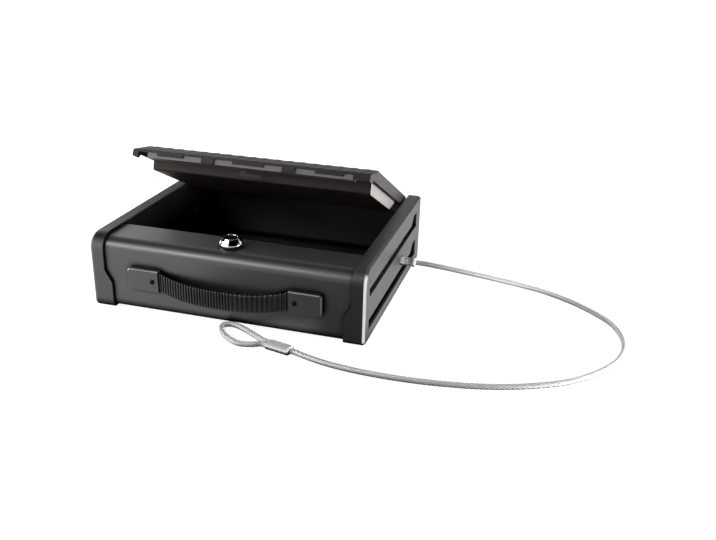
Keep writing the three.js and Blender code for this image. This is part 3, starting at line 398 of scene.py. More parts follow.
print("helper: turned")

# %% [markdown]
# ## The ferrule
#
# A turned aluminium ferrule holds the cable against the side plate. It has a plain nose at the cap,
# a waist with fine grooves where it was swaged on the rope, and a collar at its end. Its axis runs
# along X through the cable's first point.

# %% Ferrule
FERRULE_SEAT = 160.5
AXIS_GAP = 0.3
STUD_RADIUS = 4
STUD_CHAMFER = 0.6
NOSE = ((5.2, FERRULE_SEAT), (5.7, 161), (5.7, 181.6), (5.4, 182))
GROOVES = 7
GROOVE_START = 182.2
GROOVE_PITCH = 1.5
GROOVE = ((5.4, 0), (5.0, 0.35), (5.0, 0.75), (5.4, 1.1))
COLLAR = ((5.4, 193), (6.0, 193.6), (6.2, 194), (6.2, 197), (5.9, 197.7), (5.2, 198))
MOUTH = ((3.5, 198), (3.5, 197.6), (AXIS_GAP, 197.6))

ferrule_centre = in_metres((0, *CABLE_LINE[0][1:]))
stud_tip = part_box("cable_ferrule")[0].x / MM
ferrule_profile = [
    (AXIS_GAP, stud_tip), (STUD_RADIUS - STUD_CHAMFER, stud_tip), (STUD_RADIUS, stud_tip + STUD_CHAMFER),
    (STUD_RADIUS, FERRULE_SEAT), *NOSE,
]
for i in range(GROOVES):
    start = GROOVE_START + i * GROOVE_PITCH
    ferrule_profile += [(radius, start + along) for radius, along in GROOVE]
ferrule_profile += [*COLLAR, *MOUTH]
turned_ferrule = turned("turned_ferrule", ferrule_profile, ferrule_centre, axis="x")
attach(turned_ferrule, "case")
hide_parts("cable_ferrule")
print("ferrule: x from", round(stud_tip, 1), "to", MOUTH[0][1], "mm")

# %% [markdown]
# ## The cable's length and thickness
#
# The sleeve and the eye are the fitting on its far end.

print("declared:", round(cable_length, 3), "m of", 2 * CABLE_RADIUS / MM, "mm cable")

# %% [markdown]
# ## The run of the hand strap
#
# The strap is a moulded band that leaves each cover level, sags and bows out toward the viewer
# between them. One function gives its middle and its lean at a place, and another sets a section
# with rounded edges there.

# %% Strap line
COVER_INNER = 84.5
STRAP_GAP = 0.3
STRAP_FREE = COVER_INNER - STRAP_GAP
STRAP_LEVEL = 45.8
STRAP_END_Y = -0.6
STRAP_SAG = 8.8
STRAP_THICK = 4.4
STRAP_REACH = 12
STRAP_BOW = STRAP_REACH + STRAP_END_Y - STRAP_THICK / 2
STRAP_FULLNESS = 2.6
BAND_STEPS = 40
BAND_SQUARENESS = 5


def strap_line(x):
    """The band's middle at x, in millimetres, and how far it leans there."""
    share = min(abs(x) / STRAP_FREE, 1)
    swell = 1 - share ** STRAP_FULLNESS
    steepness = share ** (STRAP_FULLNESS - 1) if share < 1 else 0
    slope = STRAP_BOW * STRAP_FULLNESS * steepness / STRAP_FREE
    middle = Vector((x, STRAP_END_Y - STRAP_BOW * swell, STRAP_LEVEL - STRAP_SAG * swell))
    return middle, math.atan(math.copysign(slope, x))


def band_ring(x, thick, wide):
    """A rounded section of the band at x."""
    middle, lean = strap_line(x)
    ring = oval(thick / 2, wide / 2, BAND_STEPS, BAND_SQUARENESS)
    return [in_metres(middle + Vector((-t * math.sin(lean), t * math.cos(lean), z))) for t, z in ring]


print("strap line: sags", STRAP_SAG, "mm and bows", round(STRAP_BOW, 1), "mm")

# %% [markdown]
# ## Ribs across the strap
#
# Ribs let the band bend easily and grip the hand. The CAD has them plain. Here each gets a rounded
# crest and a narrow valley, drawn by a smooth wave along the band. On the left they stand closer.

# %% Ribbed strap
STRAP_WIDE = 24.6
CLOSE_RIBS = 26
OPEN_RIBS = 12
OPEN_FROM = 12
RIB_GROOVE = 1.3
RIB_HALF = 1.45
CREST_HALF = 0.45
CREST_STEPS = 4
TONGUE_THICK = 2.4
TONGUE_WIDE = 22
TONGUE_LENGTH = 13
TONGUE_END = COVER_INNER + TONGUE_LENGTH
RIB_SHARP = math.radians(60)


def rib_rings(middle):
    """One rib round its middle: up from the groove, over a rounded crest, and down again."""
    rings = []
    for i in range(-CREST_STEPS, CREST_STEPS + 1):
        reach = i / CREST_STEPS
        fall = max(0.0, abs(reach) * RIB_HALF - CREST_HALF) / (RIB_HALF - CREST_HALF)
        cut = 2 * RIB_GROOVE * fall ** 2
        rings.append(band_ring(middle + reach * RIB_HALF, STRAP_THICK - cut, STRAP_WIDE - cut))
    return rings


close_pitch = (STRAP_FREE + OPEN_FROM) / CLOSE_RIBS
open_pitch = (STRAP_FREE - OPEN_FROM) / OPEN_RIBS
rib_middles = [-STRAP_FREE + (i + 0.5) * close_pitch for i in range(CLOSE_RIBS)]
rib_middles += [OPEN_FROM + (i + 0.5) * open_pitch for i in range(OPEN_RIBS)]
strap_rings = [band_ring(x, TONGUE_THICK, TONGUE_WIDE) for x in (-TONGUE_END, -STRAP_FREE)]
for middle in rib_middles:
    strap_rings += rib_rings(middle)
strap_rings += [band_ring(x, TONGUE_THICK, TONGUE_WIDE) for x in (STRAP_FREE, TONGUE_END)]
ribbed_strap = skin("ribbed_strap", strap_rings, sharp=RIB_SHARP)
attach(ribbed_strap, "case")
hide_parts("handle_strap")
print("strap:", len(rib_middles), "ribs,", len(ribbed_strap.data.polygons), "faces")

# %% [markdown]
# ## The key lock
#
# The lock's head is a turned and polished barrel: a narrow foot on the strip, a belly, and a waist
# up to a flat rim round the plug. Chrome shows every facet, so the barrel is turned with many more
# steps than the CAD has, and its edges are drawn as small curves in the profile itself. A curve is
# two points, as radius and height above the foot, and how far it bulges. The rim's points are
# radius and depth below the top.

# %% Lock barrel
LOCK_FOOT = 92.6
FOOT_RADIUS = 9.2
FLARE = ((9.8, 0.15), (14.05, 4), 0.35)
BELLY = ((14.2, 4.4), (14.05, 6.4), 0.18)
WAIST = ((13.8, 6.8), (11.3, 12.4), 0.25)
RIM = ((11.1, 0.2), (10.7, 0), (8.4, 0), (7.9, 0.25), (7.6, 0.5))
PLUG_BORE = 7.5
BORE_START = 0.8
THREAD_RADIUS = 8.5
THREAD_PITCH = 1.25
THREAD_DEPTH = 0.5
THREAD_LEAD = 0.4
THREAD_MARGIN = 1
THREAD_END_RADIUS = 7.9
ARC_STEPS = 6

barrel_low, barrel_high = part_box("lock_barrel")
lock_centre = Vector(((barrel_low.x + barrel_high.x) / 2, (barrel_low.y + barrel_high.y) / 2, 0))
lock_top, thread_end = barrel_high.z / MM, barrel_low.z / MM
thread_root = THREAD_RADIUS - THREAD_DEPTH


def rounded(start, end, bulge):
    """Points of a shallow arc between two points of a profile, pushed outward by bulge at its middle."""
    points = []
    for i in range(ARC_STEPS + 1):
        t = i / ARC_STEPS
        radius = start[0] + (end[0] - start[0]) * t + bulge * math.sin(math.pi * t)
        points.append((radius, start[1] + (end[1] - start[1]) * t))
    return points


thread = []
turns = int((LOCK_FOOT - THREAD_MARGIN - thread_end) / THREAD_PITCH)
for i in range(turns):
    start = thread_end + THREAD_LEAD + i * THREAD_PITCH
    thread += [(thread_root, start), (THREAD_RADIUS, start + THREAD_PITCH / 2)]
curves = [*rounded(*FLARE), *rounded(*BELLY), *rounded(*WAIST)]
barrel_profile = [
    (PLUG_BORE, lock_top - BORE_START), (PLUG_BORE, thread_end), (THREAD_END_RADIUS, thread_end), *thread,
    (thread_root, LOCK_FOOT - THREAD_LEAD), (thread_root, LOCK_FOOT), (FOOT_RADIUS, LOCK_FOOT),
    *[(radius, LOCK_FOOT + rise) for radius, rise in curves],
    *[(radius, lock_top - depth) for radius, depth in RIM],
]
chrome_barrel = turned("chrome_barrel", barrel_profile, lock_centre, closed=True)
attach(chrome_barrel, "case")
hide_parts("lock_barrel")
print("barrel: z from", round(thread_end, 1), "to", round(lock_top, 1), "mm with", turns, "threads")

# %% [markdown]
# ## A cutter for cross recesses
#
# A recess that is only painted on a screw catches no light, so it is cut. The cutter is a skin over
# two rings in the shape of a plus sign.

# %% Recess cutter
RECESS_LONG = 3.4
RECESS_WIDE = 0.9
RECESS_DEEP = 1.1
RECESS_ARMS = 4


def cross_cutter(centre):
    """A plus-shaped block that points along Y into the head at this centre."""
    far, near = RECESS_LONG / 2, RECESS_WIDE / 2
    arm = [(far, -near), (far, near), (near, near)]
    outline = []
    for _ in range(RECESS_ARMS):
        outline += arm
        arm = [(-z, x) for x, z in arm]
    depths = (-RECESS_DEEP, RECESS_DEEP)
    rings = [[centre + Vector((x, depth, z)) * MM for x, z in outline] for depth in depths]
    return skin("cross_cutter", rings)


print("helper: cross_cutter")

# %% [markdown]
# ## The handle screws
#
# Each cover is held by one pan-head screw, black and glossy. The screw is turned, the recess is cut
# by a boolean, and the result is kept as a plain mesh.

# %% Handle screws
HEAD_RADIUS = 3.2
HEAD_HEIGHT = 1.9
CROWN_FLAT = 1.4
CROWN = ((2.0, 0.08), (3.1, 1.0), 0.3)
RIM_FRONT = 1.2
SHANK_RADIUS = 1.7
POINT_RADIUS = 1.2
POINT_LENGTH = 0.6
SCREW_CORE = 0.2
SCREW_STEPS = 48


def handle_screw(side, node):
    """A pan-head screw in place of this CAD screw."""
    low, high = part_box(node)
    centre = Vector(((low.x + high.x) / 2, 0, (low.z + high.z) / 2))
    front, back = low.y / MM, high.y / MM
    crown = [(radius, front + depth) for radius, depth in rounded(*CROWN)]
    profile = [
        (SCREW_CORE, front), (CROWN_FLAT, front), *crown, (HEAD_RADIUS, front + RIM_FRONT),
        (HEAD_RADIUS, front + HEAD_HEIGHT), (SHANK_RADIUS, front + HEAD_HEIGHT),
        (SHANK_RADIUS, back - POINT_LENGTH), (POINT_RADIUS, back), (SCREW_CORE, back),
    ]
    head = turned(f"pan_screw_{side}", profile, centre, axis="y", steps=SCREW_STEPS)
    cutter = cross_cutter(Vector((centre.x, low.y, centre.z)))
    cut = head.modifiers.new("recess", "BOOLEAN")
    cut.object = cutter
    cut.operation = "DIFFERENCE"
    shown = bpy.data.meshes.new_from_object(head.evaluated_get(bpy.context.evaluated_depsgraph_get()))
    head.modifiers.clear()
    head.data = shown
    bpy.data.objects.remove(cutter)
    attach(head, "case")
    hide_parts(node)
    return head


pan_screws = [handle_screw(side, f"handle_screw_{side}") for side in ("left", "right")]
print("screws:", [len(screw.data.polygons) for screw in pan_screws], "faces each")

# %% [markdown]
# ## Rounded edges on the frame's own pieces
#
# No folded or moulded edge is truly sharp: it has a small radius, and a line of light runs along
# it. The CAD pieces keep their meshes, so the radius comes from modifiers. One joins the points that
# the file split, one dissolves flat triangles into whole faces, one bevels the sharp edges, and a
# small node group shades everything smooth except where an edge is still sharp. A weighted normal
# keeps the big flat faces flat.

# %% Shade by angle
def shading_group(angle):
    """A node group that drops stored normals and shades smooth below an edge angle."""
    group = bpy.data.node_groups.new("shade_by_angle", "GeometryNodeTree")
    for way in ("INPUT", "OUTPUT"):
        group.interface.new_socket("Geometry", in_out=way, socket_type="NodeSocketGeometry")
    start = group.nodes.new("NodeGroupInput")
    drop = group.nodes.new("GeometryNodeRemoveAttribute")
    drop.inputs["Name"].default_value = "custom_normal"
    smooth = group.nodes.new("GeometryNodeSetShadeSmooth")
    smooth.domain = "FACE"
    bend = group.nodes.new("GeometryNodeInputMeshEdgeAngle")
    compare = group.nodes.new("FunctionNodeCompare")
    compare.operation = "LESS_THAN"
    compare.inputs["B"].default_value = angle
    edges = group.nodes.new("GeometryNodeSetShadeSmooth")
    edges.domain = "EDGE"
    end = group.nodes.new("NodeGroupOutput")
    chain = (start, drop, smooth, edges, end)
    for before, after in zip(chain, chain[1:]):
        group.links.new(before.outputs["Geometry"], after.inputs["Geometry"])
    group.links.new(bend.outputs["Unsigned Angle"], compare.inputs["A"])
    group.links.new(compare.outputs["Result"], edges.inputs["Shade Smooth"])
    return group


shading = shading_group(SHARP_ANGLE)
print("node group:", shading.name, "with", len(shading.nodes), "nodes")

# %% [markdown]
# ## Every frame piece gets its radius
#
# The table gives the larger edge radii in millimetres, and the hinge, the plug, the nuts and the
# screws share a small one. Nodes that a new piece stands for are hidden, so they are left out.

# %% Softened edges
WELD_REACH = 0.02 * MM
FLAT_ANGLE = math.radians(0.6)
BEVEL_STEPS = 2
SMALL_EDGE = 0.2
EDGE_RADII = {
    "case_sheet": 0.5, "side_plate_left": 0.4, "side_plate_right": 0.4, "end_cap_left": 0.8,
    "end_cap_right": 0.8, "lid_panel": 0.4, "lid_pan": 0.5, "lid_front_channel": 0.3, "lid_strike": 0.4,
    "lock_nut": 0.3, "lock_cam": 0.3, "cam_screw": 0.3, "anchor_nut": 0.4, "handle_cover_left": 0.55,
    "handle_cover_right": 0.55,
}


def soften(piece, radius):
    """Rounds the sharp edges of a piece by modifiers, and leaves its mesh alone."""
    weld = piece.modifiers.new("weld", "WELD")
    weld.merge_threshold = WELD_REACH
    flat = piece.modifiers.new("flat", "DECIMATE")
    flat.decimate_type = "DISSOLVE"
    flat.angle_limit = FLAT_ANGLE
    bevel = piece.modifiers.new("bevel", "BEVEL")
    bevel.width = radius * MM
    bevel.segments = BEVEL_STEPS
    bevel.limit_method = "ANGLE"
    bevel.angle_limit = SHARP_ANGLE
    shade = piece.modifiers.new("shade", "NODES")
    shade.node_group = shading
    weighted = piece.modifiers.new("weighted", "WEIGHTED_NORMAL")
    weighted.keep_sharp = True


shown_nodes = {name: piece for name, piece in nodes.items() if not piece.hide_render}
for name, piece in shown_nodes.items():
    soften(piece, EDGE_RADII.get(name, SMALL_EDGE))
print("softened:", len(shown_nodes), "pieces")

# %% [markdown]
# ## Building materials from nodes
#
# A material is a small network: each node takes values or other nodes' results. One helper adds a
# node and joins its inputs, one does arithmetic, and one carries a value from range to range.

# %% Node helpers
WHITE = (1, 1, 1, 1)


def wired(tree, kind, sources=None, **settings):
    """A shader node with these settings. Its sources are values, or the sockets that feed its inputs."""
    made = tree.nodes.new(f"ShaderNode{kind}")
    for name, setting in settings.items():
        setattr(made, name, setting)
    for name, source in (sources or {}).items():
        if isinstance(source, bpy.types.NodeSocket):
            tree.links.new(source, made.inputs[name])
        else:
            made.inputs[name].default_value = source
    return made


def worked(tree, operation, *terms):
    """The result of an arithmetic node on these values or sockets."""
    return wired(tree, "Math", dict(enumerate(terms)), operation=operation).outputs["Value"]


def ranged(tree, value, start, end, low=0.0, high=1.0, eased=False):
    """A value carried from the range start to end onto low to high, and held at both."""
    sources = {"Value": value, "From Min": start, "From Max": end, "To Min": low, "To Max": high}
    curve = "SMOOTHSTEP" if eased else "LINEAR"
    return wired(tree, "MapRange", sources, interpolation_type=curve).outputs["Result"]


def base_colour(material):
    """A finish's tree, its shader, and the socket that feeds the shader's colour so far."""
    shader = material.node_tree.nodes["Principled BSDF"]
    return material.node_tree, shader, shader.inputs["Base Color"].links[0].from_socket


print("helpers: wired, worked, ranged, base_colour")

# %% [markdown]
# ## One finish for every surface
#
# All the finishes share one idea: a base colour that drifts a little between two close tones, a
# roughness that drifts with it, and a fine relief at the real grain's size. Powder coat has a soft
# orange peel, the moulded caps a spark-eroded grain, the lid a fine wrinkle. The scale is in grains
# per metre because every piece is in metres, and object coordinates carry the grain with the piece
# when it moves.

# %% Surface helper
DRIFT_DETAIL = 6.0
GRAIN_DETAIL = 3.0
TONE_STOPS = (0.35, 0.7)
DRIFT_RANGE = (0.3, 0.7)


def surface(name, dark, light, rough, grain, relief, patch=14.0, metallic=0.0, stretch=(1, 1, 1), gleam=0.5,
            tint=(1, 1, 1)):
    """A procedural finish: two tones, two roughnesses, grains per metre and their relief in mm."""
    material = bpy.data.materials.new(name)
    material.use_nodes = True
    tree = material.node_tree
    shader = tree.nodes["Principled BSDF"]
    shader.inputs["Metallic"].default_value = metallic
    shader.inputs["Specular IOR Level"].default_value = gleam
    shader.inputs["Specular Tint"].default_value = (*tint, 1)
    place = wired(tree, "TexCoord").outputs["Object"]
    scaled = wired(tree, "Mapping", {"Vector": place, "Scale": stretch}).outputs["Vector"]
    drift, grains = (
        wired(tree, "TexNoise", {"Vector": scaled, "Scale": scale, "Detail": detail}).outputs["Fac"]
        for scale, detail in ((patch, DRIFT_DETAIL), (grain, GRAIN_DETAIL))
    )

    tone = wired(tree, "ValToRGB", {"Fac": drift})
    for stop, position, colour in zip(tone.color_ramp.elements, TONE_STOPS, (dark, light)):
        stop.position = position
        stop.color = (*colour, 1)
    tree.links.new(tone.outputs["Color"], shader.inputs["Base Color"])
    tree.links.new(ranged(tree, drift, *DRIFT_RANGE, *rough), shader.inputs["Roughness"])
    bump = wired(tree, "Bump", {"Distance": relief * MM, "Height": grains})
    tree.links.new(bump.outputs["Normal"], shader.inputs["Normal"])
    return material


print("helper: surface")

# %% [markdown]
# ## Painted light and shade
#
# Three more helpers paint light and shade into a finish in places. One paints a highlight where
# the surface faces a given way, paler than light alone makes it. One paints shade as the surface
# faces or lies further one way, such as toward the ground. The last paints shade in corners, where
# little light gets in. The painted shade takes the shine down with the colour, or a dark corner
# would still gleam.

# %% Place helpers
CORNER_SAMPLES = 8
CORNER_RANGE = (0.55, 0.95)
CORNER_LEAST = 0.15


def paint_highlight_where(material, facing, tone, starts=0.93, full=0.985, above=-1.0):
    """Paints a highlight into the colour above a height where the surface faces this way. A facing's X
    points outward.
    """
    tree, shader, plain = base_colour(material)
    place = wired(tree, "TexCoord").outputs
    own = wired(tree, "SeparateXYZ", {"Vector": place["Normal"]}).outputs
    level = wired(tree, "SeparateXYZ", {"Vector": place["Object"]}).outputs
    outward = worked(tree, "MULTIPLY", worked(tree, "SIGN", level["X"]), own["X"])
    mirrored = wired(tree, "CombineXYZ", {"X": outward, "Y": own["Y"], "Z": own["Z"]}).outputs["Vector"]
    terms = {0: mirrored, 1: Vector(facing).normalized()}
    match = wired(tree, "VectorMath", terms, operation="DOT_PRODUCT").outputs["Value"]
    share = ranged(tree, match, starts, full)
    here = worked(tree, "MULTIPLY", share, worked(tree, "GREATER_THAN", level["Z"], above))
    mix = wired(tree, "Mix", {"Factor": here, "A": plain, "B": (*tone, 1)}, data_type="RGBA")
    tree.links.new(mix.outputs["Result"], shader.inputs["Base Color"])


def paint_shade_share(material, share):
    """Paints shade: multiplies a finish's colour and its shine by this share."""
    tree, shader, plain = base_colour(material)
    colour = wired(tree, "VectorMath", {0: plain, "Scale": share}, operation="SCALE")
    tree.links.new(colour.outputs["Vector"], shader.inputs["Base Color"])
    gleam = shader.inputs["Specular IOR Level"]
    before = gleam.links[0].from_socket if gleam.is_linked else gleam.default_value
    tree.links.new(worked(tree, "MULTIPLY", share, before), gleam)


def paint_shade_toward(material, least, starts, full, by="Normal", axis="Z"):
    """Paints shade: dims a finish as its facing, or its place where by is "Object", goes from starts to
    full.
    """
    tree = material.node_tree
    place = wired(tree, "TexCoord").outputs[by]
    along = wired(tree, "SeparateXYZ", {"Vector": place}).outputs[axis]
    paint_shade_share(material, ranged(tree, along, full, starts, least))


def paint_shade_in_corners(material, reach):
    """Paints shade: dims a finish where another surface stands within reach, in millimetres."""
    tree = material.node_tree
    nearby = wired(tree, "AmbientOcclusion", {"Distance": reach * MM}, samples=CORNER_SAMPLES)
    paint_shade_share(material, ranged(tree, nearby.outputs["AO"], *CORNER_RANGE, CORNER_LEAST))


print("helpers: paint_highlight_where, dim, paint_shade_toward, paint_shade_in_corners")

# %% [markdown]
# ## Paints and mouldings
#
# The black paint on the case is the glossiest of the dark finishes, and it carries the long band
# of light along the front edge. The caps are the same grey-black, moulded with a fine grain. The
# lid and its pan are a browner, drier paint, so even their shine is tinted. Each finish takes the
# name of the slot, or of the node, that it is for.

# %% Paints and plastics
COOL_SHIFT = 0.0005


def cool(level):
    """A dark grey of this level with a trace of blue."""
    return (level, level, level + COOL_SHIFT)


def grey(level):
    """A neutral colour of this level."""
    return (level, level, level)


CAP_MOULDING = dict(
    dark=cool(0.011), light=cool(0.018), rough=(0.46, 0.56), grain=900, relief=0.07, gleam=0.8,
)
DARK_FINISHES = {
    "case_paint": dict(
        dark=cool(0.006), light=cool(0.009), rough=(0.32, 0.38), grain=700, relief=0.01, gleam=1.0,
    ),
    # the two caps get their own copies of one moulding, which differ later only in painted light and shade
    "end_cap_left": CAP_MOULDING,
    "end_cap_right": CAP_MOULDING,
    "inner_paint": dict(
        dark=(0.003, 0.003, 0.0032), light=cool(0.005), rough=(0.5, 0.62), grain=900, relief=0.02,
        gleam=0.2,
    ),
    "lid_paint": dict(
        dark=(0.005, 0.0044, 0.004), light=(0.012, 0.0104, 0.0096), rough=(0.42, 0.54),
        grain=1100, relief=0.04, patch=160.0, gleam=0.25, tint=(1, 0.9, 0.84),
    ),
    "pan_paint": dict(
        dark=(0.008, 0.006, 0.0058), light=(0.014, 0.0105, 0.01), rough=(0.4, 0.5),
        grain=800, relief=0.02, gleam=0.25, tint=(1, 0.85, 0.78),
    ),
    "handle_plastic": dict(
        dark=cool(0.009), light=cool(0.013), rough=(0.34, 0.42), grain=1300, relief=0.015, gleam=0.9,
    ),
    "strap_rubber": dict(
        dark=cool(0.004), light=cool(0.007), rough=(0.26, 0.34), grain=1800, relief=0.02, patch=60.0,
        gleam=0.6,
    ),
    "black_screw": dict(
        dark=grey(0.0006), light=grey(0.001), rough=(0.14, 0.2), grain=900, relief=0.004, gleam=0.12,
    ),
}
finishes = {name: surface(name, **values) for name, values in DARK_FINISHES.items()}
print("dark finishes:", len(finishes))

# %% [markdown]
# ## Painted highlights and painted shade
#
# The chamfer of the right cap, the inner front edges of both caps, the ends of the pan and the lid,
# the strip behind the band of light, the screws' crowns and the edges of the handle covers get
# painted highlights: they are paler than light alone can make them. The corners, the undersides and
# the lowest edges of the case and the caps get painted shade that makes them nearly black. The left
# cap's top, the right cap's front and the strap's corners get painted shade too. Each change works
# on the colour that the one before it left, so their order matters.

# %% Worn and shaded places
UP = (0, 0, 1)
OUT = (1, 0, 0)
FRONT_TOP = (0, -0.7, 0.7)
FRONT_OUTER = (0.7, -0.7, 0)
FRONT_INNER = (-0.7, -0.7, 0)
SCREW_CROWN = (0, -0.94, 0.34)
CHAMFER = (0.59, -0.81, 0)
CHAMFER_CORNER = (0.59, -0.75, 0.31)
ABOVE_BEND = 50 * MM
PAINTED_HIGHLIGHT_SPAN = {"starts": 0.9, "full": 0.97}

left_cap, right_cap = finishes["end_cap_left"], finishes["end_cap_right"]
for cap in (left_cap, right_cap):
    # painted shade in the caps' corners
    paint_shade_in_corners(cap, reach=7)
    # painted highlight on the caps' inner front edges
    paint_highlight_where(cap, FRONT_INNER, grey(0.14), starts=0.86, full=0.96)
# painted shade on the left cap where it faces up
paint_shade_toward(left_cap, least=0.3, starts=0.2, full=0.9)
# painted highlight on the right cap's front chamfer and its top corner
for facing in (CHAMFER, CHAMFER_CORNER):
    paint_highlight_where(right_cap, facing, grey(0.55))
# painted shade on the right cap where it faces the front
paint_shade_toward(right_cap, least=0.55, starts=-0.85, full=-0.98, axis="Y")

# painted highlight on the case's top strip, above the bend
paint_highlight_where(finishes["case_paint"], UP, grey(0.095), above=ABOVE_BEND)
# painted highlight on the crown of each screw
paint_highlight_where(finishes["black_screw"], SCREW_CROWN, grey(0.05), starts=0.98, full=0.999)
# painted highlight on both ends of the pan
paint_highlight_where(finishes["pan_paint"], OUT, (0.3, 0.28, 0.273), starts=0.8, full=0.95)
# painted highlight on both ends of the lid
paint_highlight_where(finishes["lid_paint"], OUT, (0.03, 0.028, 0.027), **PAINTED_HIGHLIGHT_SPAN)
# painted highlights on the handle covers' top, outer and inner front edges
for facing, level in ((FRONT_TOP, 0.3), (FRONT_OUTER, 0.07), (FRONT_INNER, 0.12)):
    paint_highlight_where(finishes["handle_plastic"], facing, grey(level), **PAINTED_HIGHLIGHT_SPAN)
# painted shade in the case's corners, such as next to the covers and the caps
paint_shade_in_corners(finishes["case_paint"], reach=9)
# painted shade in the strap's corners and grooves, such as next to the covers
paint_shade_in_corners(finishes["strap_rubber"], reach=5)

# painted shade on the undersides and the lowest millimetres of the case and the caps
painted_low_shade = {"case_paint": (13, 6), "end_cap_left": (12, 4), "end_cap_right": (6, 2)}
for name, (starts, full) in painted_low_shade.items():
    paint_shade_toward(finishes[name], least=0.1, starts=-0.2, full=-0.6)
    paint_shade_toward(finishes[name], least=0.08, starts=starts * MM, full=full * MM, by="Object")
print("low edges darkened on:", ", ".join(painted_low_shade))

# %% [markdown]
# ## Metals
#
# Zinc plate, hinge steel and aluminium are drawn or rolled, so their grain is stretched along X.
# The sleeve and the ferrule are matt aluminium, nearly white, with painted shade darkening them below.
# Chrome is almost a mirror: only its roughness drifts. The plug's face is dark blued steel.

# %% Metals
ROLLED = {"relief": 0.01, "patch": 90.0, "metallic": 1.0, "stretch": (0.06, 1, 1)}
MATT_ALUMINIUM = dict(
    dark=grey(0.88), light=grey(0.94), rough=(0.34, 0.44), grain=1600, relief=0.012, patch=120.0,
    metallic=0.05, gleam=0.3,
)
METALS = {
    "zinc": dict(
        dark=(0.46, 0.46, 0.47), light=(0.6, 0.6, 0.61), rough=(0.3, 0.42), grain=1400,
    ),
    "dull_zinc": dict(
        dark=(0.105, 0.101, 0.097), light=(0.145, 0.14, 0.134), rough=(0.55, 0.65), grain=1200,
    ),
    "hinge_steel": dict(
        dark=(0.12, 0.12, 0.125), light=(0.2, 0.2, 0.205), rough=(0.35, 0.45), grain=1200,
    ),
    "aluminium": dict(
        dark=(0.8, 0.8, 0.81), light=grey(0.88), rough=(0.36, 0.46), grain=1600, relief=0.012, patch=120.0,
    ),
    "sleeve_metal": MATT_ALUMINIUM,
    "ferrule_metal": MATT_ALUMINIUM,
    "chrome": dict(
        dark=(0.86, 0.87, 0.89), light=(0.9, 0.9, 0.91), rough=(0.03, 0.07), grain=300, relief=0.001,
        patch=40.0, stretch=(1, 1, 1),
    ),
    "plug_metal": dict(
        dark=(0.05, 0.06, 0.1), light=(0.08, 0.09, 0.14), rough=(0.16, 0.26), grain=900,
        stretch=(1, 1, 1),
    ),
}
finishes |= {name: surface(name, **{**ROLLED, **values}) for name, values in METALS.items()}
# painted shade on the undersides of the sleeve and the ferrule
paint_shade_toward(finishes["sleeve_metal"], least=0.03, starts=0.4, full=-0.1)
paint_shade_toward(finishes["ferrule_metal"], least=0.03, starts=-0.1, full=-0.6)
print("metals:", len(METALS))

# %% [markdown]
# ## The rope's wires
#
# Each strand is itself laid from fine wires. They are far too fine to model, so they are a relief
# of slanted lines in the rope's own map, which runs along the rope and round it. The same map says
# where the grooves between the strands are, and there the base colour is darkened by painted
# shade. The underside gets more painted shade, for its own shadow. The eye's wire is given a paler
# colour, a painted lighter copy of the same wire, and it is duller than the long run.

# %% Rope finish
WIRES_ROUND = 30
WIRE_PITCH = 9 * MM
WIRE_RELIEF = 0.03 * MM
GROOVE_PAINTED_SHADE = 0.4
GROOVE_SPAN = 0.7
DARK_SHARE = 0.88


def rope_finish(name, length, tone, metallic):
    """Bright wire of this tone, laid in strands, on a rope of this length."""
    material = surface(
        name, dark=grey(DARK_SHARE * tone), light=grey(tone), rough=(0.3, 0.4), grain=500, relief=0.002,
        patch=200.0, metallic=metallic, gleam=0.3,
    )
    tree, shader, plain = base_colour(material)
    spread = wired(tree, "UVMap", uv_map="along_and_round").outputs["UV"]
    parts = wired(tree, "SeparateXYZ", {"Vector": spread}).outputs
    along = worked(tree, "MULTIPLY", parts["X"], 2 * math.pi * length / WIRE_PITCH)
    around = worked(tree, "MULTIPLY_ADD", parts["Y"], 2 * math.pi * WIRES_ROUND, along)
    bump = wired(tree, "Bump", {"Distance": WIRE_RELIEF, "Height": worked(tree, "SINE", around)})
    tree.links.new(bump.outputs["Normal"], shader.inputs["Normal"])

    # painted shade in the grooves between the strands
    crest = worked(tree, "COSINE", worked(tree, "MULTIPLY", parts["Y"], math.pi * STRANDS))
    groove = ranged(tree, worked(tree, "ABSOLUTE", crest), 0.0, GROOVE_SPAN, GROOVE_PAINTED_SHADE)
    shaded = wired(tree, "VectorMath", {0: plain, "Scale": groove}, operation="SCALE").outputs["Vector"]
    tree.links.new(shaded, shader.inputs["Base Color"])
    # painted shade on the rope's underside
    paint_shade_toward(material, least=0.08, starts=0.3, full=-0.5)
    return material


finishes["tether_wire"] = rope_finish("tether_wire", cable_length, tone=0.86, metallic=0.3)
# the eye's paler tone is painted light: the same wire, made lighter
finishes["eye_wire"] = rope_finish("eye_wire", eye_length, tone=0.96, metallic=0.05)
print("rope finishes: wires every", WIRE_PITCH / MM, "mm along and", WIRES_ROUND, "round")

# %% [markdown]
# ## Putting the finishes on
#
# The record names a finish slot for each piece, so the frame's pieces are dressed by their slots,
# and the two caps by their own names. The new pieces take theirs from a short list.

# %% Assign the finishes
for entry in frame["record"]["subparts"]:
    piece = nodes[entry["node"]]
    finish = finishes.get(entry["node"], finishes.get(entry["material_slot"]))
    if finish and piece.material_slots:
        piece.material_slots[0].material = finish
new_pieces = {
    tether_rope: "tether_wire", eye_rope: "eye_wire", pressed_sleeve: "sleeve_metal",
    turned_ferrule: "ferrule_metal", ribbed_strap: "strap_rubber", chrome_barrel: "chrome",
    **{screw: "black_screw" for screw in pan_screws},
}
for piece, name in new_pieces.items():
    piece.data.materials.clear()
    piece.data.materials.append(finishes[name])
print("finishes on", len(nodes), "frame pieces and", len(new_pieces), "new ones")

# %% [markdown]
# ## The floor
#
# A plain sheet lies just under the object, so that it takes the shadow and no face of the object
# touches it.

# %% Floor
FLOOR_HALF = 12
FLOOR_LEVEL = -0.0002

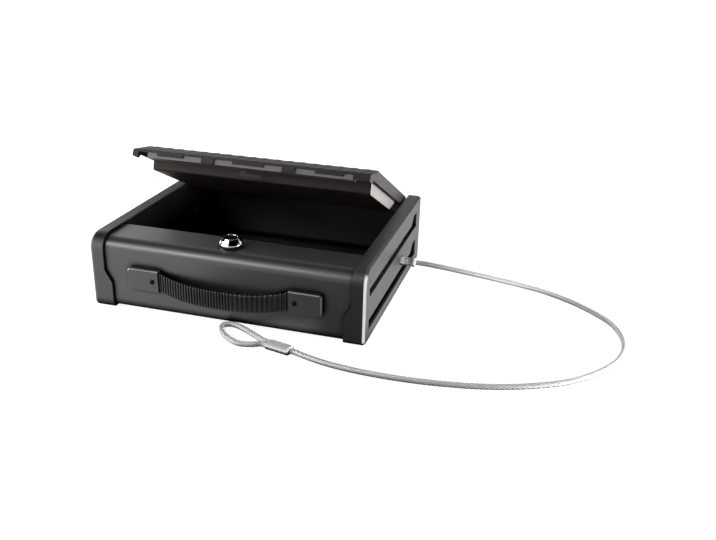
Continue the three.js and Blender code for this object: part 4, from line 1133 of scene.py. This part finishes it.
bm = bmesh.new()
corners = ((-1, -1), (1, -1), (1, 1), (-1, 1))
bm.faces.new([bm.verts.new((x * FLOOR_HALF, y * FLOOR_HALF, FLOOR_LEVEL)) for x, y in corners])
floor = object_from("floor", bm)
print("floor:", 2 * FLOOR_HALF, "m square")

# %% [markdown]
# ## The floor's paint
#
# Dark satin paint is drawn by what it reflects. The floor is white to shiny surfaces, but dark
# cards with soft edges lie on it where the front of the case should reflect nothing. The card under
# the case is a painted shadow that only shiny surfaces see. Through Light Path the floor also shows
# white to the camera. Near the object it still takes the shadow, and further away it turns fully white.

# %% Floor paint
FLOOR_GREY = (0.5, 0.5, 0.5, 1)
FLOOR_ROUGH = 0.9
FLOOR_SHINE = 0.1
FLOOR_WHITE = 0.9
WHITE_FROM = 0.7
WHITE_BEYOND = 1.6
# the third card, under the case, is a painted shadow for shiny surfaces
CARDS = (((-0.08, 0.37), (-0.57, -0.2)), ((0.105, 0.21), (-0.26, -0.1)), ((-0.17, 0.17), (-0.14, 0.15)))
CARD_SOFT = 0.025
CARD_TONE = 0.02

floor_paint = bpy.data.materials.new("pale_floor")
floor_paint.use_nodes = True
tree = floor_paint.node_tree
shader = tree.nodes["Principled BSDF"]
shader.inputs["Base Color"].default_value = FLOOR_GREY
shader.inputs["Roughness"].default_value = FLOOR_ROUGH
shader.inputs["Specular IOR Level"].default_value = FLOOR_SHINE
place = wired(tree, "TexCoord").outputs["Object"]
where = wired(tree, "SeparateXYZ", {"Vector": place}).outputs
covered = 0.0
for spans in CARDS:
    inside = []
    for axis, (low, high) in zip("XY", spans):
        distance = worked(tree, "ABSOLUTE", worked(tree, "SUBTRACT", where[axis], (low + high) / 2))
        half = (high - low) / 2
        inside.append(ranged(tree, distance, half + CARD_SOFT, half - CARD_SOFT, eased=True))
    covered = worked(tree, "MAXIMUM", covered, worked(tree, "MULTIPLY", *inside))
card = ranged(tree, covered, 0.0, 1.0, low=1.0, high=CARD_TONE)
ray = wired(tree, "LightPath").outputs
mirrored = worked(tree, "MULTIPLY", ray["Is Glossy Ray"], card)
away = wired(tree, "VectorMath", {0: place}, operation="LENGTH").outputs["Value"]
whiter = ranged(tree, away, WHITE_FROM, WHITE_BEYOND, low=FLOOR_WHITE)
strength = worked(tree, "MULTIPLY_ADD", ray["Is Camera Ray"], whiter, mirrored)
glow = wired(tree, "Emission", {"Color": WHITE, "Strength": strength}).outputs["Emission"]
lit = wired(tree, "AddShader", {0: shader.outputs["BSDF"], 1: glow}).outputs["Shader"]
tree.links.new(lit, tree.nodes["Material Output"].inputs["Surface"])
floor.data.materials.append(floor_paint)
print("floor paint:", len(CARDS), "dark cards, white from", WHITE_BEYOND, "m")

# %% [markdown]
# ## The room
#
# Soft round patches of light in the world, seen only by shiny surfaces, give the band along the
# front edge, and the dark room between them gives the dark line above it. A patch has two angles in
# degrees, from the front toward the left and up, then its radius and its strength. The camera sees
# white, and matt surfaces get a weak even fill.

# %% World
PATCHES = (
    (34, 25, 24, 1.35), (140, 38, 34, 0.55), (-140, 6, 26, 0.8), (35, 57, 11, 0.9), (0, 90, 24, 0.14),
)
PATCH_EDGE = 6
FILL = (0.03, 0.03, 0.03, 1)

world = bpy.data.worlds.new("studio")
bpy.context.scene.world = world
world.use_nodes = True
sky = world.node_tree
sky.nodes.clear()
direction = wired(sky, "TexCoord").outputs["Generated"]
total = 0.0
for azimuth, elevation, reach, power in PATCHES:
    turn, rise = math.radians(azimuth), math.radians(elevation)
    toward = (-math.sin(turn) * math.cos(rise), -math.cos(turn) * math.cos(rise), math.sin(rise))
    match = wired(sky, "VectorMath", {0: direction, 1: toward}, operation="DOT_PRODUCT").outputs["Value"]
    edges = [math.cos(math.radians(reach + edge)) for edge in (PATCH_EDGE, -PATCH_EDGE)]
    total = worked(sky, "ADD", total, ranged(sky, match, *edges, high=power, eased=True))
room = wired(sky, "Background", {"Color": WHITE, "Strength": total}).outputs["Background"]
fill = wired(sky, "Background", {"Color": FILL}).outputs["Background"]
backdrop = wired(sky, "Background", {"Color": WHITE}).outputs["Background"]
ray = wired(sky, "LightPath").outputs
lighting = wired(sky, "MixShader", {"Fac": ray["Is Glossy Ray"], 1: fill, 2: room}).outputs["Shader"]
shown = wired(sky, "MixShader", {"Fac": ray["Is Camera Ray"], 1: lighting, 2: backdrop}).outputs["Shader"]
wired(sky, "OutputWorld", {"Surface": shown})
print("world:", len(PATCHES), "soft patches for shiny surfaces")

# %% [markdown]
# ## The lamps
#
# Five softboxes light the object: one high in front, a low one at the left front, a small one that
# grazes the right cap, one at the left rear, and a wide one behind. Their power stays low enough
# that the cable and the lock keep their shape.

# %% Lamps
AIM = Vector((0.0, 0.0, 0.05))
SOFTBOXES = {
    "front_softbox": {"place": (-0.92, -1.36, 1.0), "size": (1.0, 0.45), "watts": 10.5},
    "low_softbox": {"place": (-1.4, -0.7, 0.25), "size": (0.5, 0.3), "watts": 16},
    "right_strip": {"place": (1.15, -0.1, 0.12), "size": (0.3, 0.22), "watts": 17},
    "left_softbox": {"place": (-1.3, 0.75, 0.5), "size": (0.6, 0.4), "watts": 20},
    "back_softbox": {"place": (0.3, 1.6, 1.5), "size": (1.6, 0.6), "watts": 7.5},
}
for name, box in SOFTBOXES.items():
    lamp = bpy.data.lights.new(name, "AREA")
    lamp.shape = "RECTANGLE"
    lamp.size, lamp.size_y = box["size"]
    lamp.energy = box["watts"]
    stand = bpy.data.objects.new(name, lamp)
    stand.location = box["place"]
    stand.rotation_mode = "QUATERNION"
    stand.rotation_quaternion = (Vector(box["place"]) - AIM).to_track_quat("Z", "Y")
    bpy.context.scene.collection.objects.link(stand)
print("lamps:", len(SOFTBOXES))
